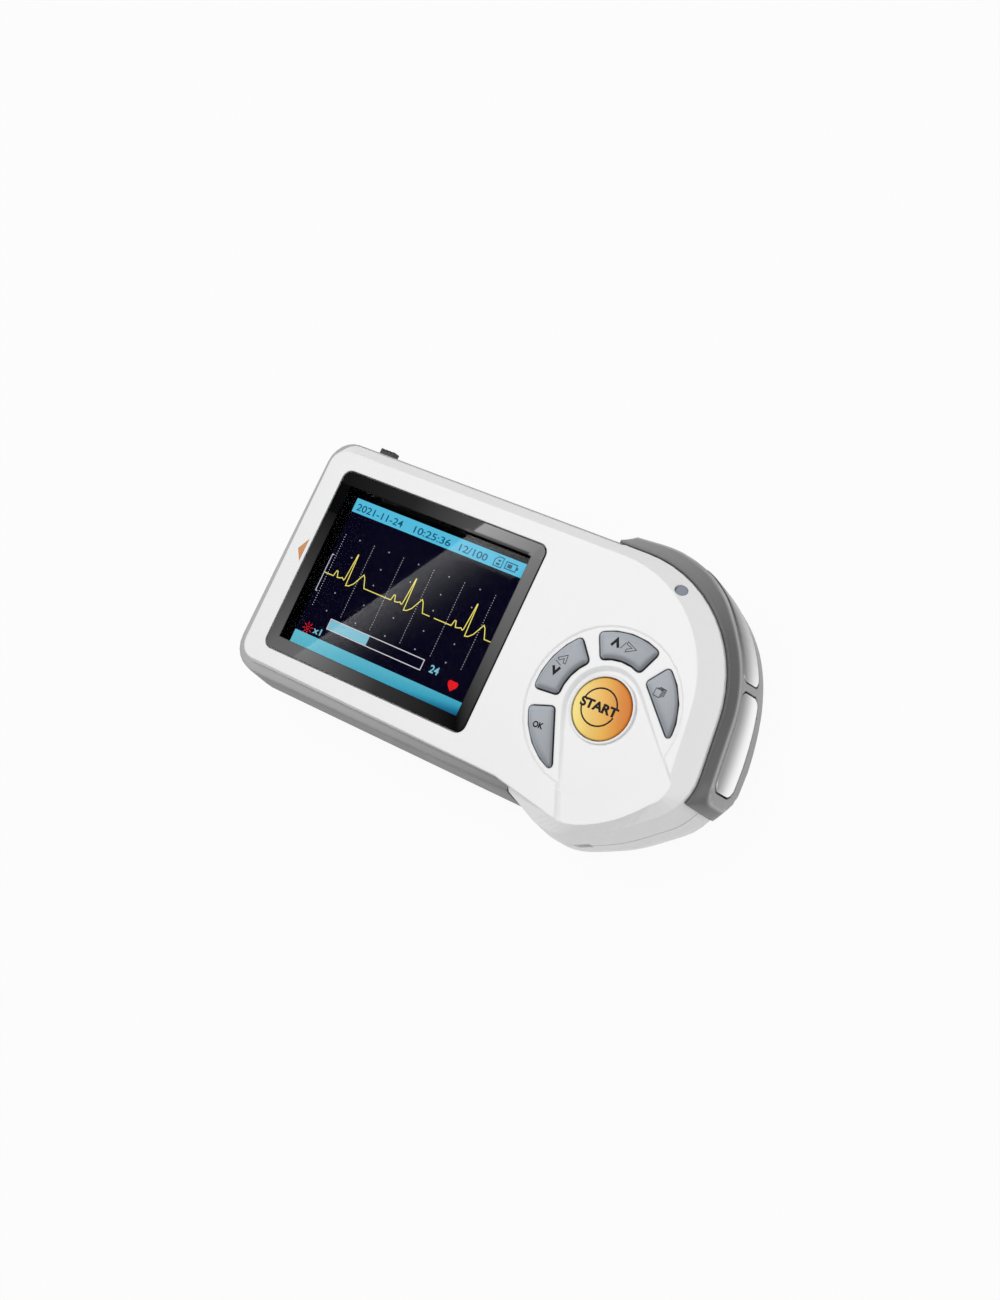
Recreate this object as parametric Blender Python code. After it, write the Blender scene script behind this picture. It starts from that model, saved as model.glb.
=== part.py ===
"""Portable ECG machine: a handheld recorder with a colour display, a keypad and metal electrodes.

The device lies on its back. X runs along it towards the finger grip, Y across it, Z up out of the face.
Plan positions are measured from the middle of the display lens, which is the design datum.
The whole model is then moved so that the origin is the middle of its footprint.
All sizes are in metres.
"""
import math

import bmesh
import bpy
import numpy as np
from mathutils import Vector

# Body, seen from the face
BODY_DEPTH = 0.0240          # back to face
SCREEN_LEFT = 0.0355         # lens centre to the left end of the white cover
SCREEN_LOW = 0.0276          # lens centre to its lower long edge
TOP_EDGE = 0.0295            # lens centre to its upper long edge
NECK_X = 0.0404              # where the narrow screen part turns out into the head
NECK_DIP = 0.0004
BELLY_X = 0.0564
BELLY_LOW = 0.0346
CHIN_X = 0.0695
CHIN_LOW = 0.0284
HEEL_X = 0.0831
HEEL_LOW = 0.0171
CROWN_X = 0.0778
LOW_CORNER_RADIUS = 0.0048
TOP_CORNER_RADIUS = 0.0050
NECK_RADIUS = 0.0040
BELLY_RADIUS = 0.0110
CHIN_RADIUS = 0.0380
HEEL_RADIUS = 0.0130
CROWN_RADIUS = 0.0310

# Flat of the face, as steps in from the corners above
FACE_IN_LEFT = 0.0010
FACE_IN_LOW = 0.0010
FACE_IN_TOP = 0.0026
FACE_NECK_SHIFT = 0.0003
FACE_NECK_DROP = 0.0006
FACE_BELLY_SHIFT = 0.0044
FACE_BELLY_RISE = 0.0035
FACE_CHIN_SHIFT = 0.0014
FACE_CHIN_RISE = 0.0024
FACE_HEEL_IN = 0.0045
FACE_CROWN_IN = 0.0051
FACE_BELLY_RADIUS = 0.0155
FACE_CHIN_RADIUS = 0.0300
FACE_HEEL_RADIUS = 0.0050
FACE_CROWN_RADIUS = 0.0295

# Levels, as depths below the face unless said
CHAMFER_DROP = 0.0032        # face to the shoulder under the broad chamfer
EDGE_DROP = 0.0020           # face to the lower rim of the white cover at its low long edge
EDGE_TILT = 0.0010           # how much deeper that rim lies at the top long edge
FACE_WALL = 0.0022
PARTING_HEIGHT = 0.0130      # back to the joint between the white halves
HEAD_FLARE = 0.0011          # how far the white wall leans out by the joint
HEAD_BULGE = 0.00135
BULGE_HEIGHT = 0.0080
BACK_EDGE_HEIGHT = 0.0045
BACK_EDGE_OUT = 0.0009
BACK_CURVE_HEIGHT = 0.0016
BACK_CURVE_IN = 0.0008
BACK_FLAT_IN = 0.0036        # how far in the flat of the back starts
SKIRT_WALL = 0.0022
SHELL_WALL = 0.0020
FLOOR_WALL = 0.0024
LIP_IN = 0.0010
LIP_WALL = 0.0012
LIP_DEPTH = 0.0060
SPLIT_X = 0.0438             # joint between the grey lower shell and the white head
SEAM = 0.0003
OVERRUN = 0.0010

# Grey lower shell, as growth outside the white rim
LEDGE_OUT = 0.0016
END_LEDGE_OUT = 0.0023         # at the left end, where the shell stands out more
LEDGE_DROP = 0.0008
LEDGE_TOP_OUT = 0.0002
SHELL_BULGE = 0.0033
SHELL_TOP_BULGE = 0.0008
SHELL_BULGE_HEIGHT = 0.0110
SHELL_SHOULDER_OUT = 0.0021
END_SHOULDER_OUT = 0.0026
SHELL_SHOULDER_DROP = 0.0030

# Display
LENS_WIDTH = 0.0581
LENS_HEIGHT = 0.0452
LENS_THICKNESS = 0.0009
LENS_CORNER_RADIUS = 0.0020
LENS_LEDGE = 0.0015
MASK_BORDER_X = 0.00305
MASK_BORDER_Y = 0.0032
MASK_THICKNESS = 0.0002
LCD_IN_X = 0.00045           # lens edge to the display panel's edge
LCD_IN_Y = 0.0008
LCD_THICKNESS = 0.0014
LCD_CORNER_RADIUS = 0.0006
LCD_SHIFT_X = 0.0002
LCD_SHIFT_Y = -0.0009
FRAME_WALL = 0.0006
FRAME_FLOOR = 0.0016

# Keypad: four keys round the start button, and the thumb scoop that opens away from them
START_X = 0.0573
START_Y = -0.0054
START_RADIUS = 0.0068
START_RISE = 0.0003
START_DOME = 0.0005
START_EDGE = 0.0005
START_COLLAR_WIDTH = 0.0008
START_COLLAR_DROP = 0.0002
KEYPAD_TURN = math.radians(125.5)
KEY_INNER_RADIUS = 0.0110
KEY_OUTER_RADIUS = 0.0170
KEY_CORNER_RADIUS = 0.0009
KEY_TIP_RADIUS = 0.0006
KEY_RISE = 0.0001
KEY_BEVEL = 0.0005
UPPER_KEY_FROM = math.radians(7)
UPPER_KEY_TO = math.radians(59)
LOWER_KEY_FROM = math.radians(73)
SCOOP_SPREAD = math.radians(11)
SCOOP_RADIUS = 0.0096
SCOOP_DEPTH = 0.0010
SCOOP_END_DEPTH = 0.0002
SCOOP_RUN = 0.0250           # button centre to the edge of the face, along the scoop
SCOOP_WALL_RUN = 0.0010
DISH_RADIUS = 0.0184
DISH_DEPTH = 0.0004
KEY_FLANGE = 0.0008
KEY_FLANGE_THICKNESS = 0.0007
KEY_STEM_RADIUS = 0.0014
KEY_STEM_LENGTH = 0.0009
KEY_TRAVEL = 0.0005
DOME_BASE_RADIUS = 0.0028
DOME_TOP_RADIUS = 0.0018
DOME_HEIGHT = 0.0006
MAT_THICKNESS = 0.0008
MAT_RADIUS = 0.0178

# Status light
LIGHT_X = 0.0620
LIGHT_Y = 0.0243
LIGHT_RADIUS = 0.0012
LIGHT_LENGTH = 0.0030
LIGHT_TILT = math.radians(28)
LIGHT_TURN = math.radians(62)
LED_SIZE = 0.0016
LED_HEIGHT = 0.0008

# Finger grip and electrodes
GRIP_LENGTH = 0.0712
GRIP_OVERLAP = 0.0013        # how far the grip's upper end reaches over the grey shell
GRIP_TOP_DROP = 0.0039       # face to the upper edge of the grip
GRIP_FOOT_HEIGHT = 0.0056
GRIP_RAMP = 0.0034
GRIP_RIDGE_OUT = 0.0030
GRIP_RIDGE_DROP = 0.0056
GRIP_RIM_OUT = 0.0047        # lower rim where it stands out most, by the thumb side
GRIP_RIM_HEIGHT = 0.0068
GRIP_CROWN = 0.0002          # how far the pad's face swells between ridge and rim
GRIP_RIM_SHARES = [(0.0, 0.80), (0.09, 0.93), (0.16, 1.0), (0.22, 0.97), (0.30, 0.86), (0.37, 0.82),
                   (0.50, 0.82), (0.60, 0.77), (0.72, 0.68), (1.0, 0.62)]
GRIP_EDGE = 0.0004
GRIP_SEAM = 0.00043
PLATE_TOP_DROP = 0.0063
PLATE_FOOT_HEIGHT = 0.0097
PLATE_THICKNESS = 0.0008
PLATE_PROUD = 0.0001
PLATE_CORNER_RADIUS = 0.0019
LOWER_PLATE_FROM = 0.0049
LOWER_PLATE_TO = 0.0256
UPPER_PLATE_FROM = 0.0277
UPPER_PLATE_TO = 0.0530
STUD_RADIUS = 0.0009
STUD_LENGTH = 0.0057
UPPER_STUD_SHIFT = 0.0019    # beyond the plate's middle, clear of the screw pillar
STUD_HEIGHT = 0.0145
PEG_RADIUS = 0.0013
PEG_LENGTH = 0.0032
PEG_LOW_AT = 0.0265
PEG_HIGH_AT = 0.0620
END_PLATE_LENGTH = 0.0290
END_PLATE_Y = 0.0010
END_PLATE_TOP = 0.0175
END_PLATE_FOOT = 0.0080
END_STUD_Y = 0.0134
END_STUD_TIP = 0.0350        # lens centre to the inner end of the stud
END_LEAF_LENGTH = 0.0042
END_LEAF_DROP = 0.0010

# Batteries and their bay
BATTERY_RADIUS = 0.00525
BATTERY_LENGTH = 0.0437
BATTERY_NUB_RADIUS = 0.0019
BATTERY_NUB_LENGTH = 0.0008
BATTERY_EDGE = 0.0006
BATTERY_PITCH = 0.0112
BATTERY_GAP = 0.0004
SPRING_LENGTH = 0.0034
SPRING_WIRE = 0.0005
SPRING_RADIUS = 0.0030
SPRING_TIP_RADIUS = 0.0021
SPRING_TURNS = 4
CONTACT_THICKNESS = 0.0004
CONTACT_HEIGHT = 0.0085
BAY_WALL = 0.0012
BAY_LEFT = 0.0346
BAY_Y = -0.0006
DOOR_THICKNESS = 0.0018
DOOR_RECESS = 0.0002
DOOR_TONGUE = 0.0010
DOOR_TONGUE_THICKNESS = 0.0007
DOOR_TONGUE_HEIGHT = 0.0010
DOOR_END_HEIGHT = 0.0050
DOOR_END_WALL = 0.0020
DOOR_GRIP_COUNT = 4
DOOR_GRIP_PITCH = 0.0022
DOOR_GRIP_WIDTH = 0.0010
DOOR_GRIP_LENGTH = 0.0130
DOOR_GRIP_DEPTH = 0.0004
DOOR_GRIP_FROM_END = 0.0060

# Board and what it carries
BOARD_THICKNESS = 0.0012
BOARD_DROP = 0.0066          # face to the top of the board
BOARD_IN = 0.0032
CHIP_SIZE = 0.0100
CHIP_HEIGHT = 0.0010
CHIP_X = 0.0270
CHIP_Y = 0.0190
CAN_LENGTH = 0.0180
CAN_WIDTH = 0.0130
CAN_HEIGHT = 0.0020
CAN_X = 0.0560
CAN_Y = 0.0080
BUZZER_RADIUS = 0.0045
BUZZER_HEIGHT = 0.0030
SOUND_HOLE_RADIUS = 0.0008
BUZZER_X = 0.0600
BUZZER_Y = -0.0140
FLEX_WIDTH = 0.0180
FLEX_THICKNESS = 0.0002
FLEX_LOOP = 0.0016

# Power switch and lead socket, in the top long side
SWITCH_X = -0.0258
SWITCH_HEIGHT = 0.0158
SWITCH_TRAVEL = 0.0022
KNOB_LENGTH = 0.0040
KNOB_HEIGHT = 0.0022
KNOB_PROUD = 0.0012
KNOB_FLANGE = 0.0014
KNOB_FLANGE_THICKNESS = 0.0008
KNOB_STEM_LENGTH = 0.0016
KNOB_STEM_HEIGHT = 0.0010
SWITCH_BODY_LENGTH = 0.0090
SWITCH_BODY_DEPTH = 0.0034
SWITCH_BODY_HEIGHT = 0.0024
SOCKET_X = 0.0120
SOCKET_WIDTH = 0.0078
SOCKET_HEIGHT = 0.0040
SOCKET_DEPTH = 0.0090
SOCKET_WALL = 0.0005

# Screws and their pillars
SCREW_NECK_X = 0.0365
SCREW_NECK_LOW = -0.0215
SCREW_NECK_TOP = 0.0232
SCREW_CROWN_X = 0.0690
SCREW_CROWN_Y = 0.0150
SCREW_CHIN_X = 0.0731
SCREW_CHIN_Y = -0.0186
PILLAR_RADIUS = 0.0029
BOSS_RADIUS = 0.0024
SCREW_HEAD_RADIUS = 0.0018
SCREW_HEAD_HEIGHT = 0.0015
SCREW_SHANK_RADIUS = 0.0008
SCREW_LENGTH = 0.0120
SCREW_SEAT_HEIGHT = 0.0085
SCREW_SLOT_WIDTH = 0.0005
SCREW_SLOT_DEPTH = 0.0006

# Wrist strap eye in the low side of the head
STRAP_X = 0.0618
STRAP_SLOT_LENGTH = 0.0034
STRAP_SLOT_HEIGHT = 0.0022
STRAP_POST_RADIUS = 0.0009
STRAP_POST_IN = 0.0034

# Facets
CORNER_STEPS = 6
CROWN_STEPS = 14
CHIN_STEPS = 7
ROUND_STEPS = 36
SMALL_ROUND_STEPS = 16
GRIP_STATIONS = 32
PLATE_CORNER_STEPS = 4
PLATE_STATIONS = 10
PLATE_ROWS = 4

# Levels worked out from the above
FACE = BODY_DEPTH
SHOULDER = FACE - CHAMFER_DROP
CEILING = FACE - FACE_WALL
BOARD_TOP = FACE - BOARD_DROP
BOARD_BOTTOM = BOARD_TOP - BOARD_THICKNESS
LENS_BOTTOM = FACE - LENS_THICKNESS
MASK_TOP = LENS_BOTTOM - SEAM
MASK_BOTTOM = MASK_TOP - MASK_THICKNESS
LEDGE_LEVEL = MASK_BOTTOM - SEAM
LCD_WIDTH = LENS_WIDTH - 2 * LCD_IN_X
LCD_HEIGHT = LENS_HEIGHT - 2 * LCD_IN_Y
LCD_TOP = CEILING - SEAM
LCD_BOTTOM = LCD_TOP - LCD_THICKNESS
FRAME_TOP = LCD_BOTTOM - SEAM
FRAME_BOTTOM = FRAME_TOP - FRAME_FLOOR
FLANGE_TOP = CEILING - SEAM
FLANGE_BOTTOM = FLANGE_TOP - KEY_FLANGE_THICKNESS
MAT_BOTTOM = BOARD_TOP + SEAM
MAT_TOP = MAT_BOTTOM + MAT_THICKNESS
BAY_RIGHT = (BATTERY_LENGTH + BATTERY_NUB_LENGTH + SPRING_LENGTH + 2 * CONTACT_THICKNESS
             + 5 * SEAM - BAY_LEFT)
BATTERY_AXIS_HEIGHT = DOOR_THICKNESS + BATTERY_GAP + BATTERY_RADIUS
BAY_CEILING = BATTERY_AXIS_HEIGHT + BATTERY_RADIUS + BATTERY_GAP
BAY_HALF_WIDTH = BATTERY_PITCH / 2 + BATTERY_RADIUS + BATTERY_GAP
DOOR_HALF_WIDTH = BAY_HALF_WIDTH + BAY_WALL
DOOR_RIGHT = BAY_RIGHT + BAY_WALL / 4

COLOURS = {
    "white_plastic": ((0.86, 0.86, 0.87), 0.32, 0.0),
    "grey_plastic": ((0.30, 0.30, 0.31), 0.42, 0.0),
    "clear_acrylic": ((0.75, 0.78, 0.80), 0.06, 0.0),
    "black_print": ((0.012, 0.012, 0.013), 0.30, 0.0),
    "display_glass": ((0.02, 0.03, 0.06), 0.12, 0.0),
    "frame_metal": ((0.55, 0.56, 0.57), 0.38, 0.9),
    "electrode_steel": ((0.72, 0.73, 0.74), 0.24, 1.0),
    "key_grey": ((0.32, 0.35, 0.38), 0.36, 0.0),
    "start_orange": ((0.84, 0.43, 0.07), 0.34, 0.0),
    "silicone": ((0.62, 0.62, 0.60), 0.70, 0.0),
    "board_green": ((0.03, 0.20, 0.09), 0.45, 0.0),
    "chip_black": ((0.02, 0.02, 0.02), 0.50, 0.0),
    "light_pipe": ((0.34, 0.38, 0.46), 0.20, 0.0),
    "battery_wrap": ((0.10, 0.12, 0.16), 0.35, 0.2),
    "spring_steel": ((0.66, 0.66, 0.64), 0.30, 1.0),
    "switch_black": ((0.04, 0.04, 0.045), 0.48, 0.0),
}


def start_clean():
    for item in list(bpy.data.objects):
        bpy.data.objects.remove(item, do_unlink=True)


def material(name):
    """The Principled material of one finish, made once."""
    found = bpy.data.materials.get(name)
    if found:
        return found
    colour, roughness, metallic = COLOURS[name]
    made = bpy.data.materials.new(name)
    made.use_nodes = True
    shader = made.node_tree.nodes["Principled BSDF"]
    shader.inputs["Base Color"].default_value = (*colour, 1.0)
    shader.inputs["Roughness"].default_value = roughness
    shader.inputs["Metallic"].default_value = metallic
    made.diffuse_color = (*colour, 1.0)
    return made


# Outlines

def rounded(corners, steps=CORNER_STEPS):
    """Points round a closed outline of (x, y, radius) corners, anticlockwise."""
    points = []
    count = len(corners)
    for i, (x, y, radius) in enumerate(corners):
        if radius == 0:
            points.append((x, y))
            continue
        corner = Vector((x, y))
        back = (Vector(corners[i - 1][:2]) - corner).normalized()
        ahead = (Vector(corners[(i + 1) % count][:2]) - corner).normalized()
        half = math.acos(max(-1.0, min(1.0, back.dot(ahead)))) / 2
        middle = corner + (back + ahead).normalized() * (radius / math.sin(half))
        first = corner + back * (radius / math.tan(half)) - middle
        turn = back.x * ahead.y - back.y * ahead.x
        sweep = (math.pi - 2 * half) * (-1 if turn > 0 else 1)
        corner_steps = steps[i] if isinstance(steps, (list, tuple)) else steps
        for k in range(corner_steps + 1):
            angle = sweep * k / corner_steps
            points.append((middle.x + first.x * math.cos(angle) - first.y * math.sin(angle),
                           middle.y + first.x * math.sin(angle) + first.y * math.cos(angle)))
    return points


def grown(corners, distance):
    """The same outline with each side moved out, by one distance or by one for each side."""
    count = len(corners)
    steps = distance if isinstance(distance, (list, tuple)) else [distance] * count
    lines = []
    for i in range(count):
        start = Vector(corners[i][:2])
        along = (Vector(corners[(i + 1) % count][:2]) - start).normalized()
        lines.append((start + Vector((along.y, -along.x)) * steps[i], along))
    result = []
    for i in range(count):
        (a, along_a), (b, along_b) = lines[i - 1], lines[i]
        cross = along_a.x * along_b.y - along_a.y * along_b.x
        gap = b - a
        reach = (gap.x * along_b.y - gap.y * along_b.x) / cross
        place = a + along_a * reach
        radius = corners[i][2]
        if radius:
            mean = (steps[i - 1] + steps[i]) / 2
            radius = max(radius + (mean if cross > 0 else -mean), KEY_TIP_RADIUS)
        result.append((place.x, place.y, radius))
    return result


def rectangle(width, height, radius=0.0, x=0.0, y=0.0):
    """Corners of a rectangle about a point."""
    return [(x - width / 2, y - height / 2, radius), (x + width / 2, y - height / 2, radius),
            (x + width / 2, y + height / 2, radius), (x - width / 2, y + height / 2, radius)]


def span(x0, x1, y0, y1):
    """Corners of a plain rectangle between two places in x and in y."""
    return [(x0, y0, 0), (x1, y0, 0), (x1, y1, 0), (x0, y1, 0)]


def circle(radius, x=0.0, y=0.0, steps=ROUND_STEPS):
    return [(x + radius * math.cos(2 * math.pi * k / steps),
             y + radius * math.sin(2 * math.pi * k / steps)) for k in range(steps)]


# Solids

def finish(name, mesh, finish_name):
    """An object of a closed mesh, with its faces pointing out."""
    work = bmesh.new()
    work.from_mesh(mesh)
    bmesh.ops.recalc_face_normals(work, faces=work.faces)
    if work.calc_volume(signed=True) < 0:
        bmesh.ops.reverse_faces(work, faces=work.faces)
    work.to_mesh(mesh)
    work.free()
    mesh.materials.clear()
    mesh.materials.append(material(finish_name))
    item = bpy.data.objects.new(name, mesh)
    bpy.context.scene.collection.objects.link(item)
    return item


def solid(name, points, faces, finish_name):
    mesh = bpy.data.meshes.new(name)
    mesh.from_pydata([tuple(p) for p in points], [], faces)
    return finish(name, mesh, finish_name)


def loft(name, rings, finish_name="white_plastic", closed=False):
    """A solid through rings of as many points each; closed joins the last ring to the first."""
    count = len(rings[0])
    points = [p for ring in rings for p in ring]
    faces = []
    last = len(rings) if closed else len(rings) - 1
    for r in range(last):
        low, high = r * count, ((r + 1) % len(rings)) * count
        for k in range(count):
            n = (k + 1) % count
            faces.append((low + k, low + n, high + n, high + k))
    if not closed:
        faces.append(tuple(range(count))[::-1])
        faces.append(tuple(range(last * count, (last + 1) * count)))
    return solid(name, points, faces, finish_name)


def level(outline, height):
    """An outline's points at a height, which may be a function of (x, y)."""
    if callable(height):
        return [(x, y, height(x, y)) for x, y in outline]
    return [(x, y, height) for x, y in outline]


def prism(name, outline, bottom, top, finish_name="white_plastic"):
    return loft(name, [level(outline, bottom), level(outline, top)], finish_name)


def block(name, x0, x1, y0, y1, z0, z1, finish_name="white_plastic"):
    return prism(name, [(x0, y0), (x1, y0), (x1, y1), (x0, y1)], z0, z1, finish_name)


def pin(name, start, end, radius, finish_name="white_plastic", steps=SMALL_ROUND_STEPS, end_radius=None):
    """A round bar between two points."""
    start, end = Vector(start), Vector(end)
    axis = (end - start).normalized()
    side = axis.orthogonal().normalized()
    other = axis.cross(side)
    rings = []
    for place, size in ((start, radius), (end, end_radius or radius)):
        rings.append([place + (side * math.cos(2 * math.pi * k / steps)
                               + other * math.sin(2 * math.pi * k / steps)) * size for k in range(steps)])
    return loft(name, rings, finish_name)


def turned(name, profile, place, axis, finish_name, steps=ROUND_STEPS):
    """A solid of revolution from (radius, distance along the axis) points, the ends at radius 0."""
    place, axis = Vector(place), Vector(axis).normalized()
    side = axis.orthogonal().normalized()
    other = axis.cross(side)
    points = [place + axis * profile[0][1]]
    for radius, along in profile[1:-1]:
        points += [place + axis * along + (side * math.cos(2 * math.pi * k / steps)
                   + other * math.sin(2 * math.pi * k / steps)) * radius for k in range(steps)]
    points.append(place + axis * profile[-1][1])
    faces = [(0, 1 + (k + 1) % steps, 1 + k) for k in range(steps)]
    rings = len(profile) - 2
    for r in range(rings - 1):
        low, high = 1 + r * steps, 1 + (r + 1) * steps
        faces += [(low + k, low + (k + 1) % steps, high + (k + 1) % steps, high + k) for k in range(steps)]
    low, tip = 1 + (rings - 1) * steps, 1 + rings * steps
    faces += [(low + k, low + (k + 1) % steps, tip) for k in range(steps)]
    return solid(name, points, faces, finish_name)


def combine(target, operation, *tools):
    """Join, cut or intersect with tools, which are used up."""
    for tool in tools:
        change = target.modifiers.new(operation.lower(), "BOOLEAN")
        change.operation = operation
        change.solver = "EXACT"
        change.object = tool
        bpy.context.view_layer.update()
        shaped = target.evaluated_get(bpy.context.evaluated_depsgraph_get())
        mesh = bpy.data.meshes.new_from_object(shaped)
        target.modifiers.clear()
        spare = target.data
        target.data = mesh
        bpy.data.meshes.remove(spare)
        bpy.data.objects.remove(tool, do_unlink=True)
    return target


def join(target, *tools):
    return combine(target, "UNION", *tools)


def cut(target, *tools):
    return combine(target, "DIFFERENCE", *tools)


# Forms of the body

HEAD_STEPS = [CORNER_STEPS, CORNER_STEPS, CORNER_STEPS, CHIN_STEPS, CORNER_STEPS, CROWN_STEPS, CORNER_STEPS]

SHOULDER_CORNERS = [
    (-SCREEN_LEFT, -SCREEN_LOW, LOW_CORNER_RADIUS),
    (NECK_X, -SCREEN_LOW - NECK_DIP, NECK_RADIUS),
    (BELLY_X, -BELLY_LOW, BELLY_RADIUS),
    (CHIN_X, -CHIN_LOW, CHIN_RADIUS),
    (HEEL_X, -HEEL_LOW, HEEL_RADIUS),
    (CROWN_X, TOP_EDGE, CROWN_RADIUS),
    (-SCREEN_LEFT, TOP_EDGE, TOP_CORNER_RADIUS),
]
FACE_CORNERS = [
    (-SCREEN_LEFT + FACE_IN_LEFT, -SCREEN_LOW + FACE_IN_LOW, LOW_CORNER_RADIUS - FACE_IN_LEFT),
    (NECK_X + FACE_NECK_SHIFT, -SCREEN_LOW - NECK_DIP - FACE_NECK_DROP + FACE_IN_LOW, NECK_RADIUS),
    (BELLY_X + FACE_BELLY_SHIFT, -BELLY_LOW + FACE_BELLY_RISE, FACE_BELLY_RADIUS),
    (CHIN_X + FACE_CHIN_SHIFT, -CHIN_LOW + FACE_CHIN_RISE, FACE_CHIN_RADIUS),
    (HEEL_X - FACE_HEEL_IN, -HEEL_LOW, FACE_HEEL_RADIUS),
    (CROWN_X - FACE_CROWN_IN, TOP_EDGE - FACE_IN_TOP, FACE_CROWN_RADIUS),
    (-SCREEN_LEFT + FACE_IN_LEFT, TOP_EDGE - FACE_IN_TOP, TOP_CORNER_RADIUS - FACE_IN_LEFT),
]
SHELL_CORNERS = [
    (-SCREEN_LEFT, -SCREEN_LOW, LOW_CORNER_RADIUS),
    (SPLIT_X - SEAM / 2, -SCREEN_LOW - NECK_DIP, 0),
    (SPLIT_X - SEAM / 2, TOP_EDGE, 0),
    (-SCREEN_LEFT, TOP_EDGE, TOP_CORNER_RADIUS),
]


def rim_height(x, y):
    """Height of the joint between the white cover and the grey shell, which tilts across the body."""
    return FACE - EDGE_DROP - EDGE_TILT * (y + SCREEN_LOW) / (TOP_EDGE + SCREEN_LOW)


def head_ring(growth, height):
    return level(rounded(grown(SHOULDER_CORNERS, growth), HEAD_STEPS), height)


def shell_ring(side, top, height, end=0.0, left=None):
    """Ring of the grey shell: growth of its low side, its top side, its open end and its left end."""
    left = side if left is None else left
    return level(rounded(grown(SHELL_CORNERS, [side, end, top, left])), height)


def interpolate(table, at):
    """Value at a place from rising (place, value) pairs."""
    if at <= table[0][0]:
        return table[0][1]
    for (a, va), (b, vb) in zip(table, table[1:]):
        if at <= b:
            return va + (vb - va) * (at - a) / (b - a)
    return table[-1][1]


HEAD_WALL = [(0.0, -BACK_FLAT_IN), (BACK_CURVE_HEIGHT, -BACK_CURVE_IN), (BACK_EDGE_HEIGHT, BACK_EDGE_OUT),
             (BULGE_HEIGHT, HEAD_BULGE), (PARTING_HEIGHT, HEAD_FLARE), (SHOULDER, 0.0)]
SHELL_WALL_OUT = [(0.0, SHELL_BULGE - BACK_FLAT_IN - BACK_CURVE_IN),
                  (BACK_CURVE_HEIGHT, SHELL_BULGE - BACK_CURVE_IN * 2),
                  (BACK_EDGE_HEIGHT, SHELL_BULGE - BACK_CURVE_IN / 2), (SHELL_BULGE_HEIGHT, SHELL_BULGE),
                  (FACE - EDGE_DROP - EDGE_TILT / 2 - SHELL_SHOULDER_DROP, SHELL_SHOULDER_OUT),
                  (FACE - EDGE_DROP - EDGE_TILT / 2 - LEDGE_DROP, LEDGE_OUT)]
END_WALL_OUT = SHELL_WALL_OUT[:4] + [(SHELL_WALL_OUT[4][0], END_SHOULDER_OUT),
                                     (SHELL_WALL_OUT[5][0], END_LEDGE_OUT)]


class Path:
    """A curve in plan with outward directions, read by the distance along it."""

    def __init__(self, places, normals, length):
        self.places, self.normals, self.length = places, normals, length

    def at(self, distance):
        share = max(0.0, min(1.0, distance / self.length)) * (len(self.places) - 1)
        low = min(int(share), len(self.places) - 2)
        mix = share - low
        place = self.places[low].lerp(self.places[low + 1], mix)
        normal = self.normals[low].lerp(self.normals[low + 1], mix).normalized()
        return place, normal

    def point(self, distance, out, height):
        place, normal = self.at(distance)
        return (place.x + normal.x * out, place.y + normal.y * out, height)


def grip_path():
    """Shoulder outline under the grip, from its end at the heel round the crown to the grey shell."""
    outline = rounded(SHOULDER_CORNERS, [3 * n for n in HEAD_STEPS])
    points = np.array(outline + outline[:1])
    arc = np.concatenate([[0.0], np.cumsum(np.hypot(*np.diff(points, axis=0).T))])
    top = next(i for i in range(len(points) - 1)
               if points[i, 1] > 0 and points[i, 0] > SPLIT_X and points[i + 1, 0] < SPLIT_X)
    end = arc[top] + points[top, 0] - (SPLIT_X - GRIP_OVERLAP)
    along = end - GRIP_LENGTH + GRIP_LENGTH * np.arange(3 * GRIP_STATIONS + 1) / (3 * GRIP_STATIONS)
    places = [Vector((np.interp(a, arc, points[:, 0]), np.interp(a, arc, points[:, 1]))) for a in along]
    normals = []
    for k in range(len(places)):
        ahead = places[min(k + 1, len(places) - 1)] - places[max(k - 1, 0)]
        normals.append(Vector((ahead.y, -ahead.x)).normalized())
    return Path(places, normals, GRIP_LENGTH)


def end_path():
    """Straight path down the left end of the grey shell."""
    middle = Vector((-SCREEN_LEFT, END_PLATE_Y))
    half = Vector((0, END_PLATE_LENGTH / 2 + OVERRUN))
    return Path([middle + half, middle - half], [Vector((-1, 0))] * 2, END_PLATE_LENGTH + 2 * OVERRUN)


GRIP_TOP = FACE - GRIP_TOP_DROP
GRIP_RIDGE = FACE - GRIP_RIDGE_DROP


def pad_out(distance, height):
    """How far the grip's pad stands out, between its ridge and its lower rim."""
    rim = GRIP_RIM_OUT * interpolate(GRIP_RIM_SHARES, distance / GRIP_LENGTH)
    down = (GRIP_RIDGE - height) / (GRIP_RIDGE - GRIP_RIM_HEIGHT)
    return GRIP_RIDGE_OUT + (rim - GRIP_RIDGE_OUT) * down + GRIP_CROWN * 4 * down * (1 - down)


def shell_out(distance, height):
    """How far the grey shell's end wall stands out."""
    return interpolate(END_WALL_OUT, height)


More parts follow.
